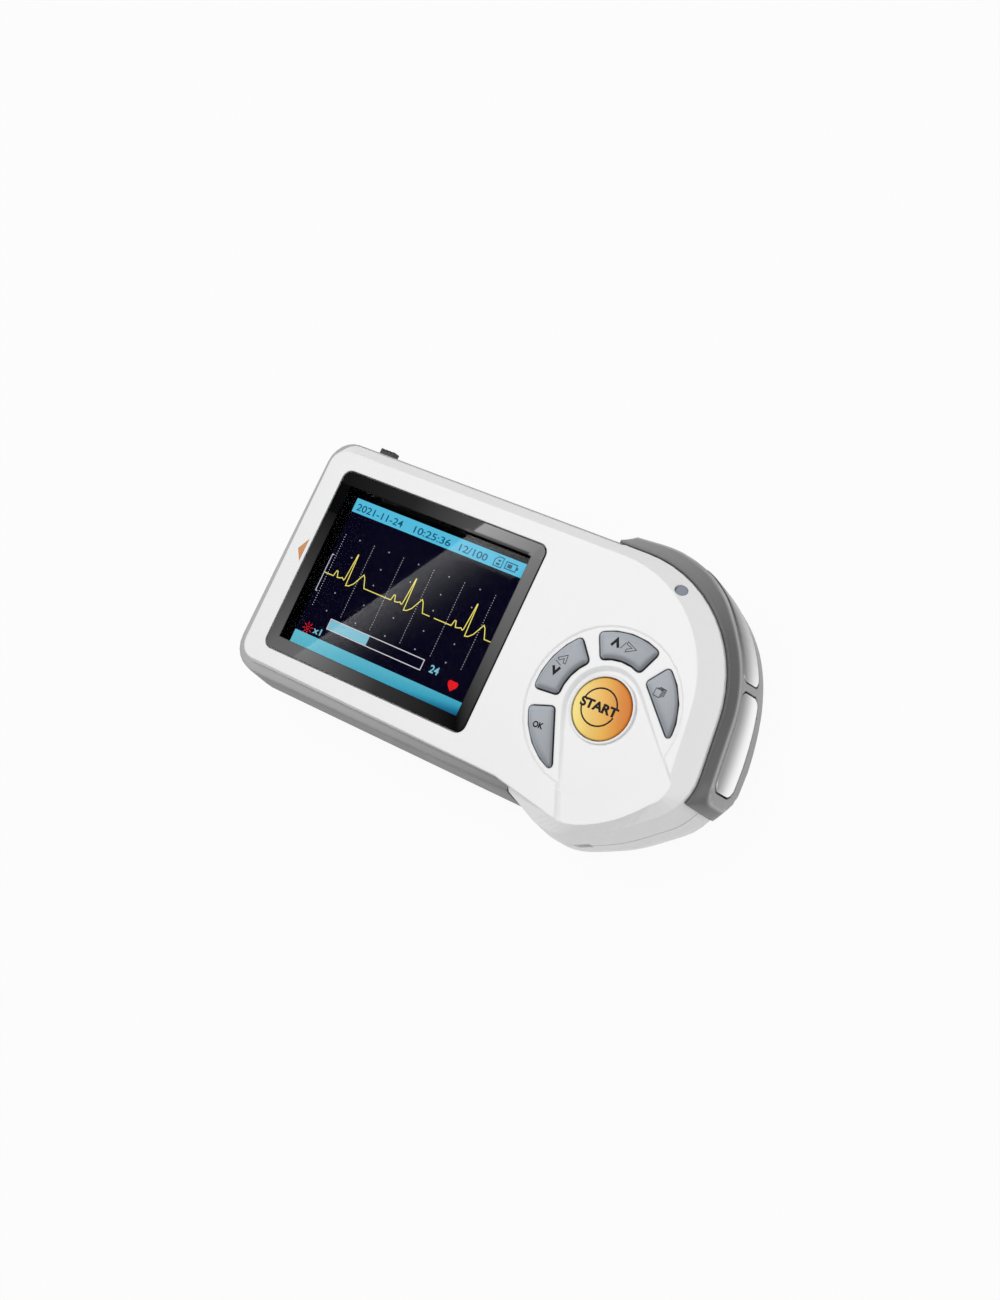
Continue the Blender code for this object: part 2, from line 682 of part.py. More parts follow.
def wall_plate(name, path, start, end, foot, top, outer, radius, thickness, growth=0.0, proud=PLATE_PROUD,
               finish_name="electrode_steel"):
    """A plate with round corners that follows a wall; growth makes the pocket that it fits."""
    start, end, foot, top = start - growth, end + growth, foot - growth, top + growth
    stations = []
    for k in range(PLATE_CORNER_STEPS):
        stations.append(radius * (1 - math.cos(math.pi / 2 * k / PLATE_CORNER_STEPS)))
    middle = [radius + (end - start - 2 * radius) * k / PLATE_STATIONS for k in range(PLATE_STATIONS + 1)]
    stations = stations + middle + [end - start - s for s in reversed(stations)]
    rows = PLATE_ROWS
    rings = []
    for s in stations:
        short = radius - min(s, end - start - s)
        inset = radius - math.sqrt(max(radius ** 2 - short ** 2, 0.0)) if short > 0 else 0.0
        low, high = foot + inset, top - inset
        heights = [low + (high - low) * k / rows for k in range(rows + 1)]
        at, depth = start + s, thickness + growth
        face = [path.point(at, outer(at, h) + proud, h) for h in heights]
        back = [path.point(at, outer(at, h) - depth, h) for h in reversed(heights)]
        rings.append(face + back)
    return loft(name, rings, finish_name)


# Keypad outlines, in a frame turned so that its first axis points away from the scoop

def keypad_point(p, q):
    return (START_X + p * math.cos(KEYPAD_TURN) - q * math.sin(KEYPAD_TURN),
            START_Y + p * math.sin(KEYPAD_TURN) + q * math.cos(KEYPAD_TURN))


def on_circle(radius, angle):
    return (radius * math.cos(angle), radius * math.sin(angle))


def upper_key(side):
    """Corners of an upper key, an even ring sector; side is 1 or -1."""
    middle = [(UPPER_KEY_FROM * (1 - s) + UPPER_KEY_TO * s) for s in (0.25, 0.5, 0.75)]
    corners = [(*on_circle(KEY_OUTER_RADIUS, UPPER_KEY_FROM), KEY_CORNER_RADIUS)]
    corners += [(*on_circle(KEY_OUTER_RADIUS, a), 0) for a in middle]
    corners += [(*on_circle(KEY_OUTER_RADIUS, UPPER_KEY_TO), KEY_CORNER_RADIUS),
                (*on_circle(KEY_INNER_RADIUS, UPPER_KEY_TO), KEY_CORNER_RADIUS)]
    corners += [(*on_circle(KEY_INNER_RADIUS, a), 0) for a in reversed(middle)]
    corners += [(*on_circle(KEY_INNER_RADIUS, UPPER_KEY_FROM), KEY_CORNER_RADIUS)]
    return placed_key(corners, side)


def lower_key(side):
    """Corners of a lower key, which tapers between the ring and the side of the scoop."""
    tangent = math.pi / 2 - SCOOP_SPREAD
    run = math.sqrt(KEY_OUTER_RADIUS ** 2 - KEY_INNER_RADIUS ** 2)
    start = on_circle(KEY_INNER_RADIUS, tangent)
    tip = (start[0] - run * math.cos(SCOOP_SPREAD), start[1] + run * math.sin(SCOOP_SPREAD))
    tip_angle = math.atan2(tip[1], tip[0])
    middle = [(LOWER_KEY_FROM * (1 - s) + tip_angle * s) for s in (0.25, 0.5, 0.75)]
    corners = [(*on_circle(KEY_OUTER_RADIUS, LOWER_KEY_FROM), KEY_CORNER_RADIUS)]
    corners += [(*on_circle(KEY_OUTER_RADIUS, a), 0) for a in middle]
    corners += [(*tip, KEY_TIP_RADIUS), (*start, KEY_INNER_RADIUS / 2),
                (*on_circle(KEY_INNER_RADIUS, LOWER_KEY_FROM), KEY_CORNER_RADIUS)]
    return placed_key(corners, side)


def placed_key(corners, side):
    """Keypad corners put in plan, anticlockwise, for the left (1) or right (-1) hand."""
    turned_corners = [(*keypad_point(p, q * side), radius) for p, q, radius in corners]
    return turned_corners if side > 0 else turned_corners[::-1]


def scoop_outline(radius, reach):
    """Arch round the start button with straight sides that spread away from it."""
    tangent = math.pi / 2 - SCOOP_SPREAD
    points = []
    for k in range(ROUND_STEPS // 2 + 1):
        angle = -tangent + 2 * tangent * k / (ROUND_STEPS // 2)
        points.append(on_circle(radius, angle))
    side = on_circle(radius, tangent)
    far = (side[0] - reach * math.cos(SCOOP_SPREAD), side[1] + reach * math.sin(SCOOP_SPREAD))
    points.append(far)
    points.append((far[0], -far[1]))
    return [keypad_point(p, q) for p, q in points]


def scoop_floor(x, y):
    """Height of the scoop's flat floor, which rises from the start button to the edge of the face."""
    away = -((x - START_X) * math.cos(KEYPAD_TURN) + (y - START_Y) * math.sin(KEYPAD_TURN))
    return FACE - SCOOP_DEPTH + (SCOOP_DEPTH - SCOOP_END_DEPTH) * away / SCOOP_RUN


# Pieces

SCREWS = [(SCREW_NECK_X, SCREW_NECK_LOW), (SCREW_NECK_X, SCREW_NECK_TOP),
          (SCREW_CROWN_X, SCREW_CROWN_Y), (SCREW_CHIN_X, SCREW_CHIN_Y)]
KEYS = {"ok_key": (lower_key, 1), "down_key": (upper_key, 1),
        "up_key": (upper_key, -1), "page_key": (lower_key, -1)}


def key_middle(name):
    """Point under a key's middle, where its stem stands."""
    shape, side = KEYS[name]
    angle = (UPPER_KEY_FROM + UPPER_KEY_TO) / 2
    if shape is lower_key:
        angle = LOWER_KEY_FROM + (UPPER_KEY_TO - UPPER_KEY_FROM) / 3
    radius = (KEY_INNER_RADIUS + KEY_OUTER_RADIUS) / 2
    return keypad_point(*on_circle(radius, angle * side))


def light_frame():
    """Foot, direction and top of the status light's pipe, square to the chamfer."""
    lean = math.sin(LIGHT_TILT)
    direction = Vector((lean * math.cos(LIGHT_TURN), lean * math.sin(LIGHT_TURN), math.cos(LIGHT_TILT)))
    top = Vector((LIGHT_X, LIGHT_Y, FACE - CHAMFER_DROP / 2 + OVERRUN / 8))
    return top - direction * LIGHT_LENGTH, direction, top


def wall_pin(name, path, distance, height, radius, inner, outer, finish_name="white_plastic"):
    """A round bar square to the wall of the head."""
    return pin(name, path.point(distance, inner, height), path.point(distance, outer, height), radius,
               finish_name)


def front_cover(path):
    cover = loft("front_cover", [head_ring(HEAD_FLARE, PARTING_HEIGHT + SEAM / 2), head_ring(0.0, SHOULDER),
                                 level(rounded(FACE_CORNERS, HEAD_STEPS), FACE)])
    reach = SCREEN_LEFT + SHELL_BULGE + OVERRUN
    width = BELLY_LOW + SHELL_BULGE
    under = span(-reach, SPLIT_X + SEAM / 2, -width, width)
    under = [(x, y) for x, y, _ in under]
    cut(cover, loft("under_screen", [level(under, 0.0), level(under, rim_height)]))
    lip = rounded([(x, y, r) for x, y, r in grown(SHELL_CORNERS, [-LIP_IN, SEAM, -LIP_IN, -LIP_IN])])
    join(cover, prism("lip", lip, CEILING - LIP_DEPTH + FACE_WALL, CEILING + SEAM / 3))
    inner = -LIP_IN - LIP_WALL
    cut(cover, loft("hollow", [head_ring(HEAD_FLARE - SKIRT_WALL, PARTING_HEIGHT - OVERRUN),
                               head_ring(inner, SHOULDER - SEAM),
                               level(rounded(grown(FACE_CORNERS, -LIP_WALL * 0.75), HEAD_STEPS), CEILING)]))
    window_width, window_height = LENS_WIDTH - 2 * LENS_LEDGE, LENS_HEIGHT - 2 * LENS_LEDGE
    cut(cover,
        prism("lens_seat", rounded(rectangle(LENS_WIDTH + 2 * SEAM, LENS_HEIGHT + 2 * SEAM,
                                             LENS_CORNER_RADIUS + SEAM)), LEDGE_LEVEL, FACE + OVERRUN),
        prism("window", rounded(rectangle(window_width, window_height, LENS_CORNER_RADIUS)),
              CEILING - OVERRUN, FACE))
    cut(cover, loft("dish", [level(circle(DISH_RADIUS - DISH_DEPTH, START_X, START_Y), FACE - DISH_DEPTH),
                             level(circle(DISH_RADIUS + DISH_DEPTH, START_X, START_Y), FACE + DISH_DEPTH)]))
    reach = SCOOP_RUN + KEY_OUTER_RADIUS
    rim = scoop_outline(SCOOP_RADIUS + SCOOP_WALL_RUN / 4, reach)
    cut(cover, loft("scoop", [level(scoop_outline(SCOOP_RADIUS - SCOOP_WALL_RUN, reach), scoop_floor),
                              level(rim, FACE), level(rim, FACE + OVERRUN)]))
    for x, y in SCREWS:
        join(cover, pin("boss", (x, y, BOARD_TOP + SEAM), (x, y, CEILING + SEAM), BOSS_RADIUS))
        cut(cover, pin("pilot", (x, y, BOARD_TOP), (x, y, CEILING), SCREW_SHANK_RADIUS + SEAM))
    for name, (shape, side) in KEYS.items():
        cut(cover, prism("key_hole", rounded(grown(shape(side), SEAM), 3), CEILING - OVERRUN, FACE + OVERRUN))
    join(cover, prism("start_collar", circle(START_RADIUS + START_COLLAR_WIDTH, START_X, START_Y),
                      CEILING + SEAM, FACE - START_COLLAR_DROP))
    cut(cover, prism("start_hole", circle(START_RADIUS + SEAM, START_X, START_Y), CEILING - OVERRUN,
                     FACE + OVERRUN))
    foot, direction, top = light_frame()
    cut(cover, pin("light_hole", foot - direction * OVERRUN, top + direction * OVERRUN * 2,
                   LIGHT_RADIUS + SEAM))
    cut_wall_holes(cover, path)
    cut(cover, strap_slot())
    return cover


def cut_wall_holes(target, path):
    """Holes through the wall for the grip's pegs and the electrodes' studs."""
    outer = GRIP_RIM_OUT
    for at in (PEG_LOW_AT, PEG_HIGH_AT):
        cut(target, wall_pin("peg_hole", path, at, STUD_HEIGHT + SEAM, PEG_RADIUS + SEAM,
                             -SKIRT_WALL - OVERRUN, outer))
    for at in stud_places():
        cut(target, wall_pin("stud_hole", path, at, STUD_HEIGHT, STUD_RADIUS + SEAM,
                             -SKIRT_WALL - OVERRUN, outer))


def stud_places():
    return ((LOWER_PLATE_FROM + LOWER_PLATE_TO) / 2,
            (UPPER_PLATE_FROM + UPPER_PLATE_TO) / 2 + UPPER_STUD_SHIFT)


def strap_slot():
    """Cutter for the slot that the wrist strap goes through."""
    half = STRAP_SLOT_LENGTH / 2
    return block("strap_slot", STRAP_X - half, STRAP_X + half, -BELLY_LOW - HEAD_BULGE,
                 -BELLY_LOW + HEAD_FLARE + SKIRT_WALL + OVERRUN, PARTING_HEIGHT - STRAP_SLOT_HEIGHT / 2,
                 PARTING_HEIGHT + STRAP_SLOT_HEIGHT / 2)


def rear_cover():
    top = PARTING_HEIGHT - SEAM / 2
    cover = loft("rear_cover", [head_ring(-BACK_FLAT_IN, 0.0), head_ring(-BACK_CURVE_IN, BACK_CURVE_HEIGHT),
                                head_ring(BACK_EDGE_OUT, BACK_EDGE_HEIGHT),
                                head_ring(HEAD_BULGE, BULGE_HEIGHT), head_ring(HEAD_FLARE, top)])
    cut(cover, loft("hollow", [head_ring(BACK_EDGE_OUT - SHELL_WALL - BACK_CURVE_IN * 2, FLOOR_WALL),
                               head_ring(BACK_EDGE_OUT - SHELL_WALL, BACK_EDGE_HEIGHT),
                               head_ring(HEAD_BULGE - SHELL_WALL, BULGE_HEIGHT),
                               head_ring(HEAD_FLARE - SHELL_WALL, top + OVERRUN)]))
    reach = SCREEN_LEFT + SHELL_BULGE + OVERRUN
    width = BELLY_LOW + SHELL_BULGE
    cut(cover, block("screen_half", -reach, SPLIT_X + SEAM / 2, -width, width, -OVERRUN, FACE))
    add_pillars(cover, SCREWS[2:])
    post_y = -BELLY_LOW + HEAD_FLARE + SKIRT_WALL + STRAP_POST_IN
    join(cover, pin("strap_post", (STRAP_X, post_y, FLOOR_WALL / 2), (STRAP_X, post_y, BOARD_BOTTOM - SEAM),
                    STRAP_POST_RADIUS))
    cut(cover, strap_slot())
    for k in range(-1, 2):
        x = BUZZER_X + k * BUZZER_RADIUS / 2
        cut(cover, pin("sound_hole", (x, BUZZER_Y, -OVERRUN), (x, BUZZER_Y, FLOOR_WALL + OVERRUN),
                       SOUND_HOLE_RADIUS))
    return cover


def add_pillars(target, places):
    """Screw pillars up to the board, each with its counterbore."""
    for x, y in places:
        join(target, pin("pillar", (x, y, FLOOR_WALL / 2), (x, y, BOARD_BOTTOM - SEAM), PILLAR_RADIUS))
        cut(target, pin("counterbore", (x, y, -OVERRUN), (x, y, SCREW_SEAT_HEIGHT), SCREW_HEAD_RADIUS + SEAM),
            pin("clearance", (x, y, 0.0), (x, y, BOARD_BOTTOM), SCREW_SHANK_RADIUS + SEAM))


def shell_body(name, finish_name="grey_plastic"):
    """The grey shell's outside as a full solid."""
    rim_inner = -LIP_IN + SEAM
    top_growth = SHELL_TOP_BULGE
    rings = []
    for height, out in SHELL_WALL_OUT[:4]:
        share = (out - SHELL_WALL_OUT[0][1]) / (SHELL_BULGE - SHELL_WALL_OUT[0][1])
        top = top_growth - (SHELL_BULGE - SHELL_WALL_OUT[0][1]) * (1 - share)
        rings.append(shell_ring(out, top, height))
    rings.append(shell_ring(SHELL_SHOULDER_OUT, top_growth / 2,
                            lambda x, y: rim_height(x, y) - SHELL_SHOULDER_DROP, 0.0, END_SHOULDER_OUT))
    rings.append(shell_ring(LEDGE_OUT, LEDGE_TOP_OUT, lambda x, y: rim_height(x, y) - LEDGE_DROP, 0.0,
                            END_LEDGE_OUT))
    rings.append(shell_ring(0.0, 0.0, lambda x, y: rim_height(x, y) - SEAM))
    rings.append(shell_ring(rim_inner - SEAM, rim_inner - SEAM, lambda x, y: rim_height(x, y) - SEAM,
                            -OVERRUN))
    return loft(name, rings, finish_name)


def bay_block(name, x0, x1, half, z0, z1, finish_name="grey_plastic"):
    return block(name, x0, x1, BAY_Y - half, BAY_Y + half, z0, z1, finish_name)


def lower_shell():
    shell = shell_body("lower_shell")
    lip_inner = -LIP_IN + SEAM
    lip_bottom = CEILING - LIP_DEPTH + FACE_WALL - SEAM
    side, top = SHELL_BULGE - SHELL_WALL, SHELL_TOP_BULGE - SHELL_WALL
    foot = SHELL_BULGE - BACK_CURVE_IN * 2 - SHELL_WALL
    cut(shell, loft("hollow", [shell_ring(foot - BACK_CURVE_IN, top - BACK_CURVE_IN * 2, FLOOR_WALL, OVERRUN),
                               shell_ring(foot, top - BACK_CURVE_IN, BACK_EDGE_HEIGHT, OVERRUN),
                               shell_ring(side, top, SHELL_BULGE_HEIGHT, OVERRUN),
                               shell_ring(lip_inner, lip_inner, lip_bottom, OVERRUN),
                               shell_ring(lip_inner, lip_inner, FACE, OVERRUN)]))
    space = [(x, y, TOP_CORNER_RADIUS) for x, y, _ in grown(display_panel(), FRAME_WALL + 2 * SEAM)]
    cut(shell, prism("display_space", rounded(space), FRAME_BOTTOM - SEAM, LCD_TOP))
    join(shell, bay_block("bay", -BAY_LEFT - BAY_WALL, BAY_RIGHT + BAY_WALL, DOOR_HALF_WIDTH, FLOOR_WALL / 2,
                          BAY_CEILING + BAY_WALL))
    add_pillars(shell, SCREWS[:2])
    left = -SCREEN_LEFT - SHELL_BULGE - OVERRUN
    cut(shell, bay_block("bay_hollow", -BAY_LEFT, BAY_RIGHT, BAY_HALF_WIDTH, -OVERRUN, BAY_CEILING),
        bay_block("door_opening", left, DOOR_RIGHT + SEAM, DOOR_HALF_WIDTH, -OVERRUN, DOOR_THICKNESS + SEAM),
        bay_block("door_groove", left, DOOR_RIGHT + SEAM, DOOR_HALF_WIDTH + DOOR_TONGUE,
                  DOOR_TONGUE_HEIGHT - SEAM, DOOR_TONGUE_HEIGHT + DOOR_TONGUE_THICKNESS + SEAM),
        bay_block("door_end", left, left + OVERRUN + DOOR_END_WALL + SEAM, DOOR_HALF_WIDTH, -OVERRUN,
                  DOOR_END_HEIGHT + SEAM))
    cut(shell, end_plate("end_pocket", SEAM), end_stud("end_stud_hole", SEAM))
    cut(shell, knob_slot(), socket_hole())
    return shell


def end_plate(name, growth=0.0):
    radius = PLATE_CORNER_RADIUS + growth
    proud = OVERRUN if growth else PLATE_PROUD
    return wall_plate(name, end_path(), OVERRUN, OVERRUN + END_PLATE_LENGTH, END_PLATE_FOOT, END_PLATE_TOP,
                      shell_out, radius, PLATE_THICKNESS, growth, proud)


def end_stud(name, growth=0.0):
    middle = (END_PLATE_FOOT + END_PLATE_TOP) / 2
    outer = -SCREEN_LEFT - SHELL_BULGE + PLATE_THICKNESS
    return pin(name, (outer, END_STUD_Y, middle), (-END_STUD_TIP + growth, END_STUD_Y, middle),
               STUD_RADIUS + growth, "electrode_steel")


def end_electrode():
    return join(end_plate("end_electrode"), end_stud("stud"))


def battery_door():
    left = -SCREEN_LEFT - SHELL_BULGE - OVERRUN
    half = DOOR_HALF_WIDTH - SEAM
    door = shell_body("battery_door")
    keep = bay_block("keep", left, DOOR_RIGHT, half, DOOR_RECESS, DOOR_THICKNESS)
    join(keep, bay_block("keep_end", left, -SCREEN_LEFT - SHELL_BULGE + DOOR_END_WALL, half, DOOR_RECESS,
                         DOOR_END_HEIGHT))
    combine(door, "INTERSECT", keep)
    tongue_left = -SCREEN_LEFT - SHELL_BULGE + DOOR_END_WALL + BACK_CURVE_HEIGHT
    for side in (-1, 1):
        inner, outer = BAY_Y + side * (half - DOOR_TONGUE), BAY_Y + side * (half + DOOR_TONGUE)
        join(door, block("tongue", tongue_left, DOOR_RIGHT, min(inner, outer), max(inner, outer),
                         DOOR_TONGUE_HEIGHT, DOOR_TONGUE_HEIGHT + DOOR_TONGUE_THICKNESS, "grey_plastic"))
    for k in range(DOOR_GRIP_COUNT):
        x = DOOR_RIGHT - DOOR_GRIP_FROM_END - k * DOOR_GRIP_PITCH
        cut(door, bay_block("thumb_groove", x - DOOR_GRIP_WIDTH, x, DOOR_GRIP_LENGTH / 2, -OVERRUN,
                            DOOR_RECESS + DOOR_GRIP_DEPTH))
    return door


def grip(path):
    """Grey finger grip round the end of the head, a raised pad with a sloping border."""
    rings = []
    gap = GRIP_SEAM
    body = sorted((GRIP_RIM_HEIGHT, BULGE_HEIGHT, PARTING_HEIGHT, GRIP_RIDGE))
    heights = [GRIP_FOOT_HEIGHT, *body, GRIP_TOP]
    run_shares = (0.0, 0.35, 0.7, 1.0)
    ramp_shares = (0.0, 0.45, 0.85, 1.0)
    stations = [GRIP_RAMP * s for s in run_shares]
    swells = list(ramp_shares)
    inner_run = GRIP_LENGTH - 2 * GRIP_RAMP
    middle = [GRIP_RAMP + inner_run * k / (GRIP_STATIONS - 1) for k in range(1, GRIP_STATIONS - 1)]
    run = stations + middle + [GRIP_LENGTH - s for s in reversed(stations)]
    swells = swells + [1.0] * len(middle) + swells[::-1]
    for distance, swell in zip(run, swells):
        outer, inner = [], []
        for height in heights:
            wall = interpolate(HEAD_WALL, height) + gap
            full = pad_out(distance, height)
            if height in (GRIP_FOOT_HEIGHT, GRIP_TOP):
                full = wall + GRIP_EDGE
            out = wall + GRIP_EDGE + (full - wall - GRIP_EDGE) * swell
            outer.append(path.point(distance, out, height))
            inner.append(path.point(distance, wall, height))
        rings.append(outer + inner[::-1])
    body = loft("grip", rings, "grey_plastic")
    for at in (PEG_LOW_AT, PEG_HIGH_AT):
        join(body, wall_pin("peg", path, at, STUD_HEIGHT + SEAM, PEG_RADIUS, -PEG_LENGTH + HEAD_FLARE,
                            GRIP_RIDGE_OUT - GRIP_EDGE, "grey_plastic"))
    ends = ((LOWER_PLATE_FROM, LOWER_PLATE_TO), (UPPER_PLATE_FROM, UPPER_PLATE_TO))
    for (start, end), at in zip(ends, stud_places()):
        cut(body, finger_plate("pocket", path, start, end, SEAM),
            wall_pin("stud_hole", path, at, STUD_HEIGHT, STUD_RADIUS + SEAM, 0.0, GRIP_RIM_OUT))
    return body


def finger_plate(name, path, start, end, growth=0.0):
    proud = OVERRUN if growth else PLATE_PROUD
    return wall_plate(name, path, start, end, PLATE_FOOT_HEIGHT, FACE - PLATE_TOP_DROP, pad_out,
                      PLATE_CORNER_RADIUS + growth, PLATE_THICKNESS, growth, proud)


def finger_electrode(name, path, start, end, stud_at):
    plate = finger_plate(name, path, start, end)
    outer = pad_out(stud_at, STUD_HEIGHT) - PLATE_THICKNESS / 2
    return join(plate, wall_pin("stud", path, stud_at, STUD_HEIGHT, STUD_RADIUS, outer - STUD_LENGTH, outer,
                                "electrode_steel"))


def display_panel():
    """Outline of the display behind the lens."""
    return rectangle(LCD_WIDTH, LCD_HEIGHT, LCD_CORNER_RADIUS, LCD_SHIFT_X, LCD_SHIFT_Y)


def display():
    prism("display_lens", rounded(rectangle(LENS_WIDTH, LENS_HEIGHT, LENS_CORNER_RADIUS)), LENS_BOTTOM, FACE,
          "clear_acrylic")
    mask = prism("lens_mask", rounded(rectangle(LENS_WIDTH, LENS_HEIGHT, LENS_CORNER_RADIUS)), MASK_BOTTOM,
                 MASK_TOP, "black_print")
    window = rectangle(LENS_WIDTH - 2 * MASK_BORDER_X, LENS_HEIGHT - 2 * MASK_BORDER_Y)
    cut(mask, prism("mask_window", rounded(window), MASK_BOTTOM - OVERRUN, MASK_TOP + OVERRUN))
    panel = display_panel()
    prism("lcd_panel", rounded(panel), LCD_BOTTOM, LCD_TOP, "display_glass")
    frame = prism("lcd_frame", rounded(grown(panel, SEAM + FRAME_WALL)), FRAME_BOTTOM, LCD_TOP - SEAM,
                  "frame_metal")
    cut(frame, prism("panel_seat", rounded(grown(panel, SEAM)), FRAME_TOP, FACE))


def key(name):
    """A key cap with the flange that holds it under the cover and the stem that works its dome."""
    shape, side = KEYS[name]
    corners = shape(side)
    x, y = key_middle(name)
    top = FACE + KEY_RISE
    cap = loft(name, [level(rounded(corners, 3), FLANGE_BOTTOM + SEAM),
                      level(rounded(corners, 3), top - KEY_BEVEL),
                      level(rounded(grown(corners, -KEY_BEVEL / 3), 3), top - KEY_BEVEL / 4),
                      level(rounded(grown(corners, -KEY_BEVEL), 3), top)], "key_grey")
    join(cap, prism("flange", rounded(grown(corners, KEY_FLANGE), 3), FLANGE_BOTTOM, FLANGE_TOP, "key_grey"),
         pin("stem", (x, y, FLANGE_BOTTOM - KEY_STEM_LENGTH), (x, y, FLANGE_TOP), KEY_STEM_RADIUS,
             "key_grey"))
    return cap, (x, y, FLANGE_TOP)


def start_button():
    top, edge = FACE + START_RISE, START_EDGE
    profile = [(0.0, top), (START_RADIUS * 0.45, top - START_DOME * 0.12),
               (START_RADIUS * 0.8, top - START_DOME * 0.5), (START_RADIUS - edge, top - START_DOME),
               (START_RADIUS, top - START_DOME - edge),
               (START_RADIUS, FLANGE_TOP), (START_RADIUS + KEY_FLANGE, FLANGE_TOP),
               (START_RADIUS + KEY_FLANGE, FLANGE_BOTTOM), (KEY_STEM_RADIUS, FLANGE_BOTTOM),
               (KEY_STEM_RADIUS, FLANGE_BOTTOM - KEY_STEM_LENGTH), (0.0, FLANGE_BOTTOM - KEY_STEM_LENGTH)]
    button = turned("start_button", profile, (START_X, START_Y, 0.0), (0, 0, 1), "start_orange")
    return button, (START_X, START_Y, FLANGE_TOP)


def keypad_mat():
    mat = prism("keypad_mat", circle(MAT_RADIUS, START_X, START_Y), MAT_BOTTOM, MAT_TOP, "silicone")
    for x, y in [key_middle(name) for name in KEYS] + [(START_X, START_Y)]:
        join(mat, pin("dome", (x, y, MAT_TOP - MAT_THICKNESS / 2), (x, y, MAT_TOP + DOME_HEIGHT),
                      DOME_BASE_RADIUS, "silicone", SMALL_ROUND_STEPS, DOME_TOP_RADIUS))
    return mat


def status_light():
    foot, direction, top = light_frame()
    pin("status_light_lens", foot, top, LIGHT_RADIUS, "light_pipe")
    half = LED_SIZE / 2
    block("led_chip", foot.x - half, foot.x + half, foot.y - half, foot.y + half, BOARD_TOP + SEAM,
          BOARD_TOP + SEAM + LED_HEIGHT, "silicone")


def main_board():
    corners = grown(SHOULDER_CORNERS, -BOARD_IN)
    board = prism("main_board", rounded(corners, HEAD_STEPS), BOARD_BOTTOM, BOARD_TOP, "board_green")
    for x, y in SCREWS:
        cut(board, pin("board_hole", (x, y, BOARD_BOTTOM - OVERRUN), (x, y, BOARD_TOP + OVERRUN),
                       SCREW_SHANK_RADIUS + SEAM))
    return board


def chips():
    half = CHIP_SIZE / 2
    bottom = BOARD_BOTTOM - SEAM
    block("processor_chip", CHIP_X - half, CHIP_X + half, CHIP_Y - half, CHIP_Y + half, bottom - CHIP_HEIGHT,
          bottom, "chip_black")
    prism("shield_can", rounded(rectangle(CAN_LENGTH, CAN_WIDTH, KEY_CORNER_RADIUS, CAN_X, CAN_Y), 2),
          bottom - CAN_HEIGHT, bottom, "frame_metal")
    turned("buzzer", [(0.0, bottom), (BUZZER_RADIUS, bottom), (BUZZER_RADIUS, bottom - BUZZER_HEIGHT),
                      (0.0, bottom - BUZZER_HEIGHT)], (BUZZER_X, BUZZER_Y, 0.0), (0, 0, 1), "chip_black",
           SMALL_ROUND_STEPS + SMALL_ROUND_STEPS // 2)


def display_flex():
    """Ribbon that folds from the end of the display frame down to the board."""
    inner_x = LCD_SHIFT_X + LCD_WIDTH / 2 + SEAM + FRAME_WALL + SEAM
    bottom = BOARD_TOP + SEAM
    top = FRAME_TOP - SEAM
    middle, radius = (top + bottom) / 2, (top - bottom) / 2
    outside, inside = [], []
    for k in range(CORNER_STEPS * 2 + 1):
        angle = math.pi / 2 - math.pi * k / (CORNER_STEPS * 2)
        outside.append((inner_x + FLEX_LOOP * math.cos(angle), middle + radius * math.sin(angle)))
        inside.append((inner_x + (FLEX_LOOP - FLEX_THICKNESS) * math.cos(angle),
                       middle + (radius - FLEX_THICKNESS) * math.sin(angle)))
    profile = outside + inside[::-1]
    half = FLEX_WIDTH / 2
    rings = [[(x, y, z) for x, z in profile] for y in (LCD_SHIFT_Y - half, LCD_SHIFT_Y + half)]
    loft("display_flex", rings, "switch_black")


def batteries():
    """Two AAA cells head to tail, their springs and the two contact strips."""
    left_face = -BAY_LEFT + SEAM
    right_face = BAY_RIGHT - SEAM
    cell = BATTERY_LENGTH + BATTERY_NUB_LENGTH
    wide = BAY_HALF_WIDTH - BATTERY_GAP
    foot = BATTERY_AXIS_HEIGHT - CONTACT_HEIGHT / 2
    strips = (("left_contact_strip", left_face), ("right_contact_strip", right_face - CONTACT_THICKNESS))
    for name, x in strips:
        block(name, x, x + CONTACT_THICKNESS, BAY_Y - wide, BAY_Y + wide, foot, foot + CONTACT_HEIGHT,
              "spring_steel")
    for number, side in ((1, 1), (2, -1)):
        y = BAY_Y + side * BATTERY_PITCH / 2
        # The first cell points right, the second left
        face = left_face + CONTACT_THICKNESS + SEAM if side > 0 else right_face - CONTACT_THICKNESS - SEAM
        spring_start = Vector((face, y, BATTERY_AXIS_HEIGHT))
        flat_end = face + side * (SPRING_LENGTH + SEAM)
        flat = BATTERY_RADIUS - BATTERY_EDGE
        profile = [(0.0, 0.0), (flat, 0.0), (BATTERY_RADIUS, BATTERY_EDGE),
                   (BATTERY_RADIUS, BATTERY_LENGTH - BATTERY_EDGE), (flat, BATTERY_LENGTH),
                   (BATTERY_NUB_RADIUS, BATTERY_LENGTH), (BATTERY_NUB_RADIUS, cell), (0.0, cell)]
        turned("battery_%d" % number, profile, (flat_end, y, BATTERY_AXIS_HEIGHT), (side, 0, 0),
               "battery_wrap", 24)
        coil("battery_spring_%d" % number, spring_start, Vector((side, 0, 0)))


